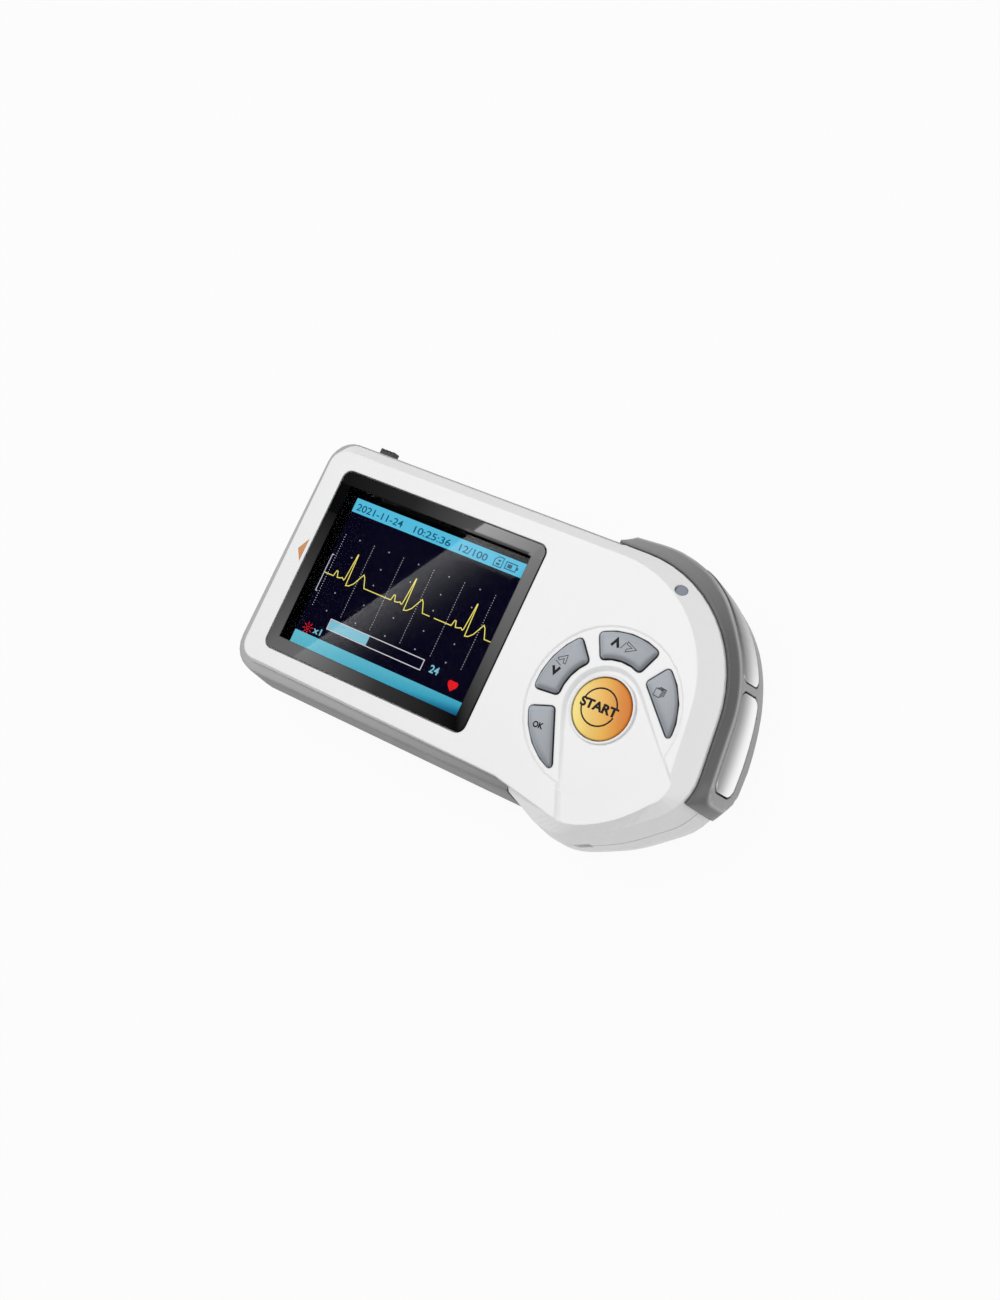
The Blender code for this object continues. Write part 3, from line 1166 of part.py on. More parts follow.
def coil(name, start, axis):
    """A conical coil spring as one unbroken wire."""
    side = axis.orthogonal().normalized()
    other = axis.cross(side)
    per_turn, ring = 10, 6
    count = SPRING_TURNS * per_turn
    centres = []
    for k in range(count + 1):
        share = k / count
        radius = SPRING_RADIUS + (SPRING_TIP_RADIUS - SPRING_RADIUS) * share - SPRING_WIRE / 2
        angle = 2 * math.pi * SPRING_TURNS * share
        along = SPRING_WIRE / 2 + (SPRING_LENGTH - SPRING_WIRE) * share
        centres.append(start + axis * along + (side * math.cos(angle) + other * math.sin(angle)) * radius)
    rings = []
    for k, centre in enumerate(centres):
        ahead = (centres[min(k + 1, count)] - centres[max(k - 1, 0)]).normalized()
        across = ahead.cross(axis).normalized()
        up = across.cross(ahead)
        turn = 2 * math.pi / ring
        rings.append([centre + (across * math.cos(turn * j) + up * math.sin(turn * j)) * (SPRING_WIRE / 2)
                      for j in range(ring)])
    return loft(name, rings, "spring_steel")


def top_wall():
    """Y of the outside of the grey shell's top side at the switch's height."""
    return TOP_EDGE + SHELL_TOP_BULGE


def knob_slot():
    half = KNOB_LENGTH / 2 + SEAM
    high = KNOB_HEIGHT / 2 + SEAM
    return block("knob_slot", SWITCH_X - half, SWITCH_X + SWITCH_TRAVEL + half, TOP_EDGE - SHELL_WALL * 2,
                 top_wall() + OVERRUN, SWITCH_HEIGHT - high, SWITCH_HEIGHT + high)


def power_switch():
    """Slide switch: its knob in the slot of the top side and its body on the board."""
    wall = top_wall()
    inside = wall - SHELL_WALL - SEAM
    half, high = KNOB_LENGTH / 2, KNOB_HEIGHT / 2
    knob = block("power_slide", SWITCH_X - half, SWITCH_X + half, inside - KNOB_FLANGE_THICKNESS / 2,
                 wall + KNOB_PROUD, SWITCH_HEIGHT - high, SWITCH_HEIGHT + high, "switch_black")
    for k in range(3):
        x = SWITCH_X + (k - 1) * KNOB_LENGTH / 4
        rib = KNOB_LENGTH / 16
        cut(knob, block("rib", x - rib, x + rib, wall + KNOB_PROUD * 0.6, wall + KNOB_PROUD + OVERRUN,
                        SWITCH_HEIGHT - KNOB_HEIGHT, SWITCH_HEIGHT + KNOB_HEIGHT))
    flange_half = half + KNOB_FLANGE + SWITCH_TRAVEL / 2
    body_top = BOARD_BOTTOM - SEAM
    flange_top = min(SWITCH_HEIGHT + high + KNOB_FLANGE / 2, CEILING - LIP_DEPTH + FACE_WALL - SEAM)
    join(knob, block("flange", SWITCH_X - flange_half, SWITCH_X + flange_half, inside - KNOB_FLANGE_THICKNESS,
                     inside, SWITCH_HEIGHT - high - KNOB_FLANGE / 2, flange_top, "switch_black"))
    body_front = inside - KNOB_FLANGE_THICKNESS - SEAM
    middle = body_top - SWITCH_BODY_HEIGHT / 2
    stem, stem_half = KNOB_STEM_LENGTH, KNOB_STEM_HEIGHT / 2
    join(knob, block("stem", SWITCH_X - stem_half, SWITCH_X + stem_half, body_front - stem,
                     inside - KNOB_FLANGE_THICKNESS / 2, middle - stem_half, middle + stem_half,
                     "switch_black"))
    body_half = SWITCH_BODY_LENGTH / 2
    centre = SWITCH_X + SWITCH_TRAVEL / 2
    body = block("power_switch", centre - body_half, centre + body_half, body_front - SWITCH_BODY_DEPTH,
                 body_front, body_top - SWITCH_BODY_HEIGHT, body_top, "frame_metal")
    cut(body, block("stem_slot", SWITCH_X - stem_half - SEAM, SWITCH_X + SWITCH_TRAVEL + stem_half + SEAM,
                    body_front - stem - SEAM, body_front + OVERRUN, middle - stem_half - SEAM,
                    middle + stem_half + SEAM))
    return knob, (SWITCH_X, wall, SWITCH_HEIGHT)


def socket_top():
    return BOARD_BOTTOM - SEAM


def socket_hole():
    half = SOCKET_WIDTH / 2 - SOCKET_WALL
    return block("socket_hole", SOCKET_X - half, SOCKET_X + half, TOP_EDGE - SHELL_WALL * 2,
                 top_wall() + OVERRUN, socket_top() - SOCKET_HEIGHT + SOCKET_WALL, socket_top() - SOCKET_WALL)


def lead_socket():
    """Socket for the lead wires, a metal shell open to the top side."""
    face = top_wall() - SHELL_WALL - SEAM
    half = SOCKET_WIDTH / 2
    top = socket_top()
    shell = block("lead_socket", SOCKET_X - half, SOCKET_X + half, face - SOCKET_DEPTH, face,
                  top - SOCKET_HEIGHT, top, "frame_metal")
    wall = SOCKET_WALL
    cut(shell, block("socket_mouth", SOCKET_X - half + wall, SOCKET_X + half - wall,
                     face - SOCKET_DEPTH + 3 * wall, face + OVERRUN, top - SOCKET_HEIGHT + wall, top - wall))
    tongue = block("tongue", SOCKET_X - half / 2, SOCKET_X + half / 2, face - SOCKET_DEPTH + 2 * wall,
                   face - 3 * wall, top - SOCKET_HEIGHT / 2 - wall, top - SOCKET_HEIGHT / 2 + wall / 2)
    join(shell, tongue)
    return shell


def case_screws():
    """Four cross-head screws, up through the pillars and the board."""
    for number, (x, y) in enumerate(SCREWS, 1):
        head_top = SCREW_SEAT_HEIGHT - SEAM
        head_bottom = head_top - SCREW_HEAD_HEIGHT
        profile = [(0.0, head_bottom), (SCREW_HEAD_RADIUS, head_bottom), (SCREW_HEAD_RADIUS, head_top),
                   (SCREW_SHANK_RADIUS, head_top), (SCREW_SHANK_RADIUS, head_top + SCREW_LENGTH),
                   (0.0, head_top + SCREW_LENGTH + SCREW_SHANK_RADIUS)]
        screw = turned("case_screw_%d" % number, profile, (x, y, 0.0), (0, 0, 1), "spring_steel",
                       SMALL_ROUND_STEPS)
        reach, half = SCREW_HEAD_RADIUS * 0.7, SCREW_SLOT_WIDTH / 2
        for along, across in ((reach, half), (half, reach)):
            cut(screw, block("cross", x - along, x + along, y - across, y + across, head_bottom - OVERRUN,
                             head_bottom + SCREW_SLOT_DEPTH))


def leaf(name, profile, place, along, across):
    """A bent strip: its side view, as (distance along, height) points, put at a place in plan."""
    half = STUD_RADIUS
    rings = [[(place.x + along.x * out + across.x * side, place.y + along.y * out + across.y * side, z)
              for out, z in profile] for side in (-half, half)]
    return loft(name, rings, "spring_steel")


def contact_springs(path):
    """Leaf springs between the board and the electrodes' studs."""
    thick = CONTACT_THICKNESS
    top = BOARD_BOTTOM - SEAM
    foot = STUD_HEIGHT - STUD_RADIUS
    for name, at in zip(("lower_contact_spring", "upper_contact_spring"), stud_places()):
        place, normal = path.at(at)
        tip = pad_out(at, STUD_HEIGHT) - PLATE_THICKNESS / 2 - STUD_LENGTH - SEAM
        profile = [(tip, foot), (tip, top), (tip - 4 * thick, top), (tip - 4 * thick, top - thick),
                   (tip - thick, top - thick), (tip - thick, foot)]
        leaf(name, profile, place, normal, Vector((-normal.y, normal.x)))
    tip = -END_STUD_TIP + SEAM
    foot = (END_PLATE_FOOT + END_PLATE_TOP) / 2 - END_LEAF_DROP
    end = tip + END_LEAF_LENGTH
    profile = [(tip, foot), (tip + thick, foot), (tip + thick, top - thick), (end, top - thick), (end, top),
               (tip, top)]
    leaf("end_contact_spring", profile, Vector((0, END_STUD_Y)), Vector((1, 0)), Vector((0, 1)))


def set_origin(item, point):
    """Move an object's origin to a point without moving its mesh."""
    point = Vector(point)
    for vertex in item.data.vertices:
        vertex.co -= point
    item.location = point


def smooth(item):
    item.data.shade_smooth()
    item.data.set_sharp_from_angle(angle=math.radians(28))


def centre_on_footprint():
    """Hang everything on one empty so that the origin is the middle of the footprint."""
    pieces = [item for item in bpy.data.objects if item.type == "MESH"]
    corners = [item.location + vertex.co for item in pieces for vertex in item.data.vertices]
    middle_x = (min(c.x for c in corners) + max(c.x for c in corners)) / 2
    middle_y = (min(c.y for c in corners) + max(c.y for c in corners)) / 2
    lowest = min(c.z for c in corners)
    datum = bpy.data.objects.new("lens_datum", None)
    bpy.context.scene.collection.objects.link(datum)
    datum.location = (-middle_x, -middle_y, -lowest)
    for item in pieces:
        item.parent = datum
        smooth(item)
    print("lens centre at", tuple(round(v, 5) for v in datum.location))


def build():
    start_clean()
    path = grip_path()
    front_cover(path)
    rear_cover()
    lower_shell()
    door = battery_door()
    set_origin(door, (-SCREEN_LEFT, BAY_Y, DOOR_THICKNESS / 2))
    grip(path)
    lower_stud, upper_stud = stud_places()
    finger_electrode("lower_finger_electrode", path, LOWER_PLATE_FROM, LOWER_PLATE_TO, lower_stud)
    finger_electrode("upper_finger_electrode", path, UPPER_PLATE_FROM, UPPER_PLATE_TO, upper_stud)
    end_electrode()
    display()
    for name in KEYS:
        set_origin(*key(name))
    set_origin(*start_button())
    keypad_mat()
    status_light()
    main_board()
    chips()
    display_flex()
    batteries()
    set_origin(*power_switch())
    lead_socket()
    case_screws()
    contact_springs(path)
    centre_on_footprint()


build()
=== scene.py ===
"""Looks of a handheld heart recorder: finishes, the display's picture, printed marks and staging.

Plan places are in millimetres from the middle of the display lens, heights from its outer face.
"""
import math

import bmesh
import bpy
from mathutils import Matrix, Vector
from mathutils.bvhtree import BVHTree
from mathutils.geometry import delaunay_2d_cdt
from mathutils.kdtree import KDTree


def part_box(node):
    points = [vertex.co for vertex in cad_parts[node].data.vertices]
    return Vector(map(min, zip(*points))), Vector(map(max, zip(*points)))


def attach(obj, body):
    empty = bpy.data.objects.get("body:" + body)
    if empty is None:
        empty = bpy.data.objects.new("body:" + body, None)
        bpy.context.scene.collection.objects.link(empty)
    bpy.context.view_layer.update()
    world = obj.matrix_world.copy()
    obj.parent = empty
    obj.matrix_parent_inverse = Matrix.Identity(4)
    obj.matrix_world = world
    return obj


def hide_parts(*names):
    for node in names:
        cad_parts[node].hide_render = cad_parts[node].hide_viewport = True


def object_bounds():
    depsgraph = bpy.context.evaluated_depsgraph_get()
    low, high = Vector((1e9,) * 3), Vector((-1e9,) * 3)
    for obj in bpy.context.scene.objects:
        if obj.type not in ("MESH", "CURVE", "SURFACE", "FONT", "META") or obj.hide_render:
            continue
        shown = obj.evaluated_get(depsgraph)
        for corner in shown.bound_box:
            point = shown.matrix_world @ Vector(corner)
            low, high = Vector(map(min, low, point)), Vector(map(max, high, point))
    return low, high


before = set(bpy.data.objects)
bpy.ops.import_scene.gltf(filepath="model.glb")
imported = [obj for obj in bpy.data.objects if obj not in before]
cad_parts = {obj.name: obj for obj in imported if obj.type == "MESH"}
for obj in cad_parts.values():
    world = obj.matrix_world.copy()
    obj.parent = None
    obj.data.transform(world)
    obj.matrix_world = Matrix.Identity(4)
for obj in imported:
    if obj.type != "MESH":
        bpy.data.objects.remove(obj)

cad_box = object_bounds()
MM = 0.001
MICRON = 0.000001
LENS_LOW, LENS_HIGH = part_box("display_lens")
DATUM = Vector(((LENS_LOW.x + LENS_HIGH.x) / 2, (LENS_LOW.y + LENS_HIGH.y) / 2, LENS_HIGH.z))
Z_AXIS = Vector((0, 0, 1))


def at(x, y, z=0.0):
    """A place in metres from plan millimetres."""
    return DATUM + Vector((x, y, z)) * MM


# Shader groups

def join(tree, value, socket):
    """Links an input to another socket, or sets it to a plain value."""
    if isinstance(value, bpy.types.NodeSocket):
        tree.links.new(value, socket)
    else:
        socket.default_value = value


def new_node(tree, kind, values, operation=None):
    """A node with its inputs linked or set, each by name or number."""
    node = tree.nodes.new(kind)
    if operation:
        node.operation = operation
    for key, value in values.items():
        join(tree, value, node.inputs[key])
    return node


def math_node(tree, operation, *values):
    return new_node(tree, "ShaderNodeMath", dict(enumerate(values)), operation).outputs[0]


def vector_node(tree, operation, *values, output=0):
    return new_node(tree, "ShaderNodeVectorMath", dict(enumerate(values)), operation).outputs[output]


def object_place(tree):
    return tree.nodes.new("ShaderNodeTexCoord").outputs["Object"]


def noise(tree, place, scale, detail=2.0):
    values = {"Detail": detail, "Scale": scale, "Vector": place}
    return new_node(tree, "ShaderNodeTexNoise", values).outputs["Fac"]


def scaled(tree, colour, factor):
    return new_node(tree, "ShaderNodeVectorMath", {0: colour, "Scale": factor}, "SCALE").outputs[0]


def swing(tree, value, spread):
    """A value about one, from a mask about one half."""
    return math_node(tree, "ADD", math_node(tree, "MULTIPLY", math_node(tree, "SUBTRACT", value, 0.5), spread), 1.0)


def new_group(name, inputs, outputs):
    """A shader group from its inputs' plain values and its outputs' names."""
    group = bpy.data.node_groups.new(name, "ShaderNodeTree")
    for label, value in inputs.items():
        kind = "NodeSocketFloat" if isinstance(value, float) else "NodeSocketColor"
        group.interface.new_socket(name=label, in_out="INPUT", socket_type=kind).default_value = value
    for label in outputs:
        kind = "NodeSocketColor" if label == "Colour" else "NodeSocketFloat"
        group.interface.new_socket(name=label, in_out="OUTPUT", socket_type=kind)
    return group, group.nodes.new("NodeGroupInput").outputs, group.nodes.new("NodeGroupOutput").inputs


def tint(group, start, end, mask, spread):
    """Puts out the group's colour, a little lighter or darker with a mask."""
    join(group, scaled(group, start["Colour"], swing(group, mask, spread)), end["Colour"])


def moulded_skin_group():
    """Fine spark-eroded grain and the slow tone of a moulded skin."""
    group, start, end = new_group(
        "moulded_skin",
        {"Colour": (0.8, 0.8, 0.8, 1), "Tone": 0.04, "Grain": 2600.0, "Roughness": 0.4, "Patchiness": 0.15},
        ("Colour", "Roughness", "Height"))
    place = object_place(group)
    tint(group, start, end, noise(group, place, 55.0), start["Tone"])
    patch = swing(group, noise(group, place, 160.0), start["Patchiness"])
    join(group, math_node(group, "MULTIPLY", start["Roughness"], patch), end["Roughness"])
    join(group, noise(group, place, start["Grain"], 3.0), end["Height"])
    return group


def drawn_metal_group():
    """Faint draw lines along x and a slow change of shine."""
    group, start, end = new_group(
        "drawn_metal",
        {"Colour": (0.7, 0.7, 0.7, 1), "Tone": 0.05, "Lines": 3000.0, "Roughness": 0.25},
        ("Colour", "Roughness", "Height"))
    place = object_place(group)
    stretch = new_node(group, "ShaderNodeMapping", {"Scale": (0.04, 0.04, 1.0), "Vector": place})
    lines = noise(group, stretch.outputs["Vector"], start["Lines"])
    tint(group, start, end, noise(group, place, 90.0), start["Tone"])
    join(group, math_node(group, "MULTIPLY", start["Roughness"], swing(group, lines, 0.35)), end["Roughness"])
    join(group, lines, end["Height"])
    return group


def lit_pixels_group():
    """The fine unevenness of lit display dots."""
    group, start, end = new_group("lit_pixels", {"Colour": (0.5, 0.5, 0.5, 1), "Depth": 0.3}, ("Colour", "Roughness"))
    dots = noise(group, object_place(group), 5200.0, 1.0)
    tint(group, start, end, dots, start["Depth"])
    join(group, math_node(group, "MULTIPLY", swing(group, dots, 0.5), 0.02), end["Roughness"])
    return group


MOULDED_SKIN = moulded_skin_group()
DRAWN_METAL = drawn_metal_group()
LIT_PIXELS = lit_pixels_group()


# Materials

EDGE_ROUND = 0.3 * MM
COVER_EDGE_ROUND = 0.4 * MM
MIRROR_LEVEL = 0.55
MIRROR = {"specular": MIRROR_LEVEL, "edge": 0}
KEY_COLOUR = (0.295, 0.32, 0.355)
DARK_GLASS = (0.002, 0.002, 0.002, 1)

# Stops of (place in mm, grey or colour) along a direction over the piece
# Painted light and shade on the grey shell: darker lower walls and a lighter band along the ledge
SHELL_LEAN = (-0.02, 0.03, 1.0)
SHELL_PAINTED_SHADES = [(-22.0, 0.19), (-13.0, 0.17), (-4.6, 0.185), (-4.0, 0.30), (-3.3, 0.38), (-2.5, 0.45), (-1.5, 0.38),
               (0.0, 0.38)]
# Painted light and shade on the start key: lighter and yellower to the left, darker and redder to the right
START_LEAN = (0.93, 0.37, 0.0)
START_PAINTED_LIGHT = [(45.0, (0.98, 0.81, 0.27)), (48.5, (0.88, 0.60, 0.175)), (52.0, (0.83, 0.455, 0.085)),
                 (55.6, (0.72, 0.25, 0.028)), (58.5, (0.63, 0.16, 0.01))]
FOOTER_LEAN = (0.12, -1.0, 0.0)
FOOTER_COLOURS = [(14.0, (0.115, 0.47, 0.585)), (17.6, (0.085, 0.42, 0.55)), (19.8, (0.045, 0.35, 0.50)),
                  (21.4, (0.012, 0.15, 0.28)), (22.4, (0.008, 0.07, 0.16))]


def new_material(name):
    made = bpy.data.materials.new(name)
    made.use_nodes = True
    return made, made.node_tree, made.node_tree.nodes["Principled BSDF"]


def place_group(tree, group, values):
    node = tree.nodes.new("ShaderNodeGroup")
    node.node_tree = group
    for label, value in values.items():
        join(tree, value, node.inputs[label])
    return node


def skinned(name, group, values, along=None, stops=(), shown="Base Color"):
    """A material that takes its colour and roughness from a skin group."""
    made, tree, shader = new_material(name)
    skin = place_group(tree, group, values)
    if stops:
        join(tree, blend_along(tree, along, stops), skin.inputs["Colour"])
    join(tree, skin.outputs["Colour"], shader.inputs[shown])
    join(tree, skin.outputs["Roughness"], shader.inputs["Roughness"])
    return made, tree, shader, skin


def raise_grain(tree, shader, height, microns, strength=1.0, edge=EDGE_ROUND):
    """Grain over softly broken edges."""
    bump = new_node(tree, "ShaderNodeBump", {"Strength": strength, "Distance": microns * MICRON, "Height": height})
    if edge:
        broken = new_node(tree, "ShaderNodeBevel", {"Radius": edge})
        broken.samples = 6
        join(tree, broken.outputs["Normal"], bump.inputs["Normal"])
    join(tree, bump.outputs["Normal"], shader.inputs["Normal"])


def soften_ring(tree, shader, centre, radius, width, share):
    """Turns the normal upright near a ring, so that its low step reads as a soft one."""
    bump = shader.inputs["Normal"].links[0].from_node
    edges = bump.inputs["Normal"].links[0].from_socket
    offset = vector_node(tree, "MULTIPLY", vector_node(tree, "SUBTRACT", object_place(tree), centre), (1, 1, 0))
    length = vector_node(tree, "LENGTH", offset, output="Value")
    gap = math_node(tree, "ABSOLUTE", math_node(tree, "SUBTRACT", length, radius))
    near = new_node(tree, "ShaderNodeMapRange",
                    {"Value": gap, "From Min": width, "From Max": width / 2, "To Max": share})
    near.interpolation_type = "SMOOTHSTEP"
    mix = tree.nodes.new("ShaderNodeMix")
    mix.data_type = "VECTOR"
    join(tree, near.outputs["Result"], mix.inputs["Factor"])
    join(tree, edges, mix.inputs[4])
    join(tree, Z_AXIS, mix.inputs[5])
    join(tree, vector_node(tree, "NORMALIZE", mix.outputs[1]), bump.inputs["Normal"])


def blend_along(tree, direction, stops):
    """A colour that changes along a direction over the piece, from (place in mm, colour) stops."""
    along = vector_node(tree, "DOT_PRODUCT", object_place(tree), direction, output="Value")
    first = stops[0][0]
    start, run = DATUM.dot(Vector(direction)) + first * MM, (stops[-1][0] - first) * MM
    share = math_node(tree, "DIVIDE", math_node(tree, "SUBTRACT", along, start), run)
    ramp = new_node(tree, "ShaderNodeValToRGB", {"Fac": share})
    points = ramp.color_ramp.elements
    while len(points) < len(stops):
        points.new(0.5)
    for point, (at_place, colour) in zip(points, stops):
        point.position = (at_place - first) * MM / run
        point.color = (*colour, 1)
    return ramp.outputs["Color"]


def moulding(name, colour, roughness, tone, grain, patchiness, microns, specular=0.5, edge=EDGE_ROUND, along=None,
             stops=()):
    made, tree, shader, skin = skinned(
        name, MOULDED_SKIN, {"Colour": (*colour, 1), "Tone": tone, "Grain": grain, "Roughness": roughness,
                             "Patchiness": patchiness}, along, stops)
    join(tree, specular, shader.inputs["Specular IOR Level"])
    raise_grain(tree, shader, skin.outputs["Height"], microns, edge=edge)
    return made


def metal(name, colour, roughness, tone=0.05):
    values = {"Colour": (*colour, 1), "Tone": tone, "Lines": 3000.0, "Roughness": roughness}
    made, tree, shader, skin = skinned(name, DRAWN_METAL, values)
    join(tree, 1.0, shader.inputs["Metallic"])
    raise_grain(tree, shader, skin.outputs["Height"], 1)
    return made


def take_shade(made, colour=(1.0, 1.0, 1.0)):
    """Weights a finish's colour by the piece's own shade attribute, which holds painted light and shade (on the grip
    also the pad's and border's own greys).
    """
    tree = made.node_tree
    shade = tree.nodes.new("ShaderNodeAttribute")
    shade.attribute_name = "shade"
    plain = tree.nodes.new("ShaderNodeRGB")
    plain.outputs[0].default_value = (*colour, 1)
    group = next(node for node in tree.nodes if node.type == "GROUP")
    join(tree, scaled(tree, plain.outputs[0], shade.outputs["Fac"]), group.inputs["Colour"])
    return made


def lit(name, colour, depth=0.25, along=None, stops=()):
    """Part of the display's picture."""
    made, tree, shader, _ = skinned(name, LIT_PIXELS, {"Colour": (*colour, 1), "Depth": depth}, along, stops,
                                    "Emission Color")
    for label, value in (("Emission Strength", 1.0), ("Base Color", DARK_GLASS), ("Specular IOR Level", MIRROR_LEVEL)):
        join(tree, value, shader.inputs[label])
    return made


def clear(name, colour, roughness, index):
    """Clear plastic, which leaves the mirroring to what lies under it."""
    made, tree, shader, skin = skinned(name, MOULDED_SKIN, {"Colour": (*colour, 1), "Tone": 0.02, "Grain": 30.0,
                                                            "Roughness": roughness, "Patchiness": 0.05})
    join(tree, 1.0, shader.inputs["Transmission Weight"])
    join(tree, index, shader.inputs["IOR"])
    raise_grain(tree, shader, skin.outputs["Height"], 0.01, 0.02, edge=0)
    return made


def greys(stops):
    return [(at_place, (level, level, level + 0.005)) for at_place, level in stops]


# Each moulding: name, colour, roughness, tone, grain per metre, patchiness, grain depth in microns
FINISHES = {
    "white_plastic": moulding("white_gloss_plastic", (0.82, 0.82, 0.825), 0.34, 0.015, 3200, 0.2, 2,
                              edge=COVER_EDGE_ROUND),
    "grey_plastic": moulding("grey_satin_plastic", (0.37, 0.37, 0.375), 0.40, 0.05, 2800, 0.25, 4, 0.16,
                             along=SHELL_LEAN, stops=greys(SHELL_PAINTED_SHADES)),
    "clear_acrylic": clear("polished_acrylic", (0.985, 0.99, 0.985), 0.005, 1.01),
    "black_print": moulding("black_back_print", (0.003, 0.003, 0.0033), 0.02, 0.1, 40, 0.2, 0.001, **MIRROR),
    "display_glass": moulding("dark_display_glass", (0.003, 0.003, 0.004), 0.02, 0.1, 40, 0.2, 0.001, **MIRROR),
    "frame_metal": metal("tinned_sheet", (0.55, 0.56, 0.57), 0.36),
    "electrode_steel": metal("polished_electrode_steel", (0.78, 0.79, 0.80), 0.22, 0.03),
    "key_grey": moulding("bluish_grey_key", (0.30, 0.325, 0.36), 0.32, 0.05, 3600, 0.2, 3, edge=0),
    "start_orange": moulding("orange_start_key", (0.80, 0.40, 0.06), 0.26, 0.03, 3000, 0.2, 2, 0.16, 0,
                             START_LEAN, START_PAINTED_LIGHT),
    "silicone": moulding("milky_silicone", (0.60, 0.60, 0.58), 0.70, 0.06, 1800, 0.2, 6),
    "board_green": moulding("green_solder_mask", (0.02, 0.16, 0.07), 0.42, 0.25, 900, 0.3, 10),
    "chip_black": moulding("black_chip_resin", (0.02, 0.02, 0.021), 0.55, 0.2, 2200, 0.2, 5),
    "light_pipe": moulding("smoky_light_pipe", (0.24, 0.265, 0.31), 0.18, 0.05, 1200, 0.2, 1),
    "battery_wrap": moulding("dark_blue_cell_film", (0.05, 0.08, 0.16), 0.30, 0.08, 700, 0.2, 4),
    "spring_steel": metal("nickel_plate", (0.66, 0.66, 0.64), 0.28),
    "switch_black": moulding("black_switch_plastic", (0.035, 0.035, 0.038), 0.45, 0.15, 2400, 0.2, 5),
}
# These three finishes take painted light, shade and reflection from each piece's shade attribute
GRIP_FINISH = take_shade(moulding("grey_grip_plastic", (0.3, 0.3, 0.3), 0.34, 0.05, 2600, 0.25, 3))
PLATE_FINISH = take_shade(metal("polished_grip_electrode", (0.8, 0.8, 0.8), 0.24, 0.02))
KEY_FINISH = take_shade(moulding("rolled_key_rubber", (0.3, 0.3, 0.3), 0.30, 0.04, 3600, 0.2, 3, edge=0), KEY_COLOUR)
PRINT_BLACK = moulding("black_pad_print", (0.012, 0.012, 0.013), 0.5, 0.1, 2400, 0.2, 2, 0.1, 0)
PRINT_ORANGE = moulding("orange_pad_print", (0.58, 0.235, 0.06), 0.42, 0.06, 2400, 0.2, 2)
LIT_NAVY = lit("lit_navy", (0.0022, 0.0018, 0.0095), 0.5)
LIT_CYAN = lit("lit_cyan", (0.088, 0.49, 0.71))
LIT_FOOTER = lit("lit_footer", (0.085, 0.46, 0.6), along=FOOTER_LEAN, stops=FOOTER_COLOURS)
LIT_YELLOW = lit("lit_yellow", (0.86, 0.76, 0.15))
LIT_WHITE = lit("lit_white", (0.66, 0.66, 0.70))
LIT_PALE = lit("lit_pale", (0.46, 0.48, 0.56))
LIT_SKY = lit("lit_sky", (0.20, 0.50, 0.62))
LIT_RED = lit("lit_red", (0.75, 0.012, 0.018))
LIT_INK = lit("lit_ink", (0.006, 0.09, 0.17))

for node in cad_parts.values():
    finish = node.data.materials[0].name.split(".")[0]
    for slot_number in range(len(node.data.materials)):
        node.data.materials[slot_number] = FINISHES[finish]

START_PLACE = (57.3, -5.4)
DISH_RADIUS = 18.4
DISH_SOFT = 1.4
DISH_SHARE = 0.95
white = FINISHES["white_plastic"].node_tree
soften_ring(white, white.nodes["Principled BSDF"], at(*START_PLACE), DISH_RADIUS * MM, DISH_SOFT * MM, DISH_SHARE)


# Help with meshes

def place_object(name, data):
    item = bpy.data.objects.new(name, data)
    bpy.context.scene.collection.objects.link(item)
    return item


def spread(start, run, count):
    """Even steps from a start over a run, both ends included."""
    return [start + run * k / count for k in range(count + 1)]


def bounded(value, low=0.0, high=1.0):
    return max(low, min(high, value))


def circle(middle, side, up, radius, steps, shift=Vector()):
    """Places round a circle in a plane of two directions, its radius and shift in millimetres."""
    turns = [2 * math.pi * k / steps for k in range(steps)]
    return [middle + (shift + (side * math.cos(turn) + up * math.sin(turn)) * radius) * MM for turn in turns]


def write_points(mesh, label, values):
    """Keeps a value for each point of a mesh, for its material to read."""
    mesh.attributes.new(label, "FLOAT", "POINT").data.foreach_set("value", values)


def closed_mesh(name, rings):
    """A closed mesh through rings of points, capped at both ends."""
    count = len(rings[0])
    faces = []
    for i in range(len(rings) - 1):
        for k in range(count):
            a, b = i * count + k, i * count + (k + 1) % count
            faces.append((a, b, b + count, a + count))
    faces.append(tuple(reversed(range(count))))
    faces.append(tuple(range((len(rings) - 1) * count, len(rings) * count)))
    mesh = bpy.data.meshes.new(name)
    mesh.from_pydata([tuple(p) for ring in rings for p in ring], [], faces)
    work = bmesh.new()
    work.from_mesh(mesh)
    bmesh.ops.recalc_face_normals(work, faces=work.faces[:])
    if work.calc_volume(signed=True) < 0:
        bmesh.ops.reverse_faces(work, faces=work.faces[:])
    work.to_mesh(mesh)
    work.free()
    return place_object(name, mesh)


def face_up(work):
    bmesh.ops.recalc_face_normals(work, faces=work.faces[:])
    for face in work.faces:
        if face.normal.z < 0:
            face.normal_flip()


def thicken(name, work, thickness=0.0, foot=None):
    """A closed piece from a sheet in plan, which becomes its lower side, sunk by a thickness or to a foot."""
    sheet = work.verts[:]
    bmesh.ops.extrude_face_region(work, geom=work.faces[:])
    for corner in sheet:
        corner.co.z = corner.co.z - thickness if foot is None else foot
    bmesh.ops.recalc_face_normals(work, faces=work.faces[:])
    for corner in work.verts:
        corner.co = at(*corner.co)
    mesh = bpy.data.meshes.new(name)
    work.to_mesh(mesh)
    work.free()
    return place_object(name, mesh)


def merge(target, *others):
    work = bmesh.new()
    for item in (target, *others):
        work.from_mesh(item.data)
    work.to_mesh(target.data)
    work.free()
    for item in others:
        bpy.data.objects.remove(item)


def cut_out(target, cutter):
    change = target.modifiers.new("pocket", "BOOLEAN")
    change.operation = "DIFFERENCE"
    change.solver = "EXACT"
    change.object = cutter
    view = target.evaluated_get(bpy.context.evaluated_depsgraph_get())
    mesh = bpy.data.meshes.new_from_object(view)
    target.modifiers.clear()
    target.data = mesh
    bpy.data.objects.remove(cutter)


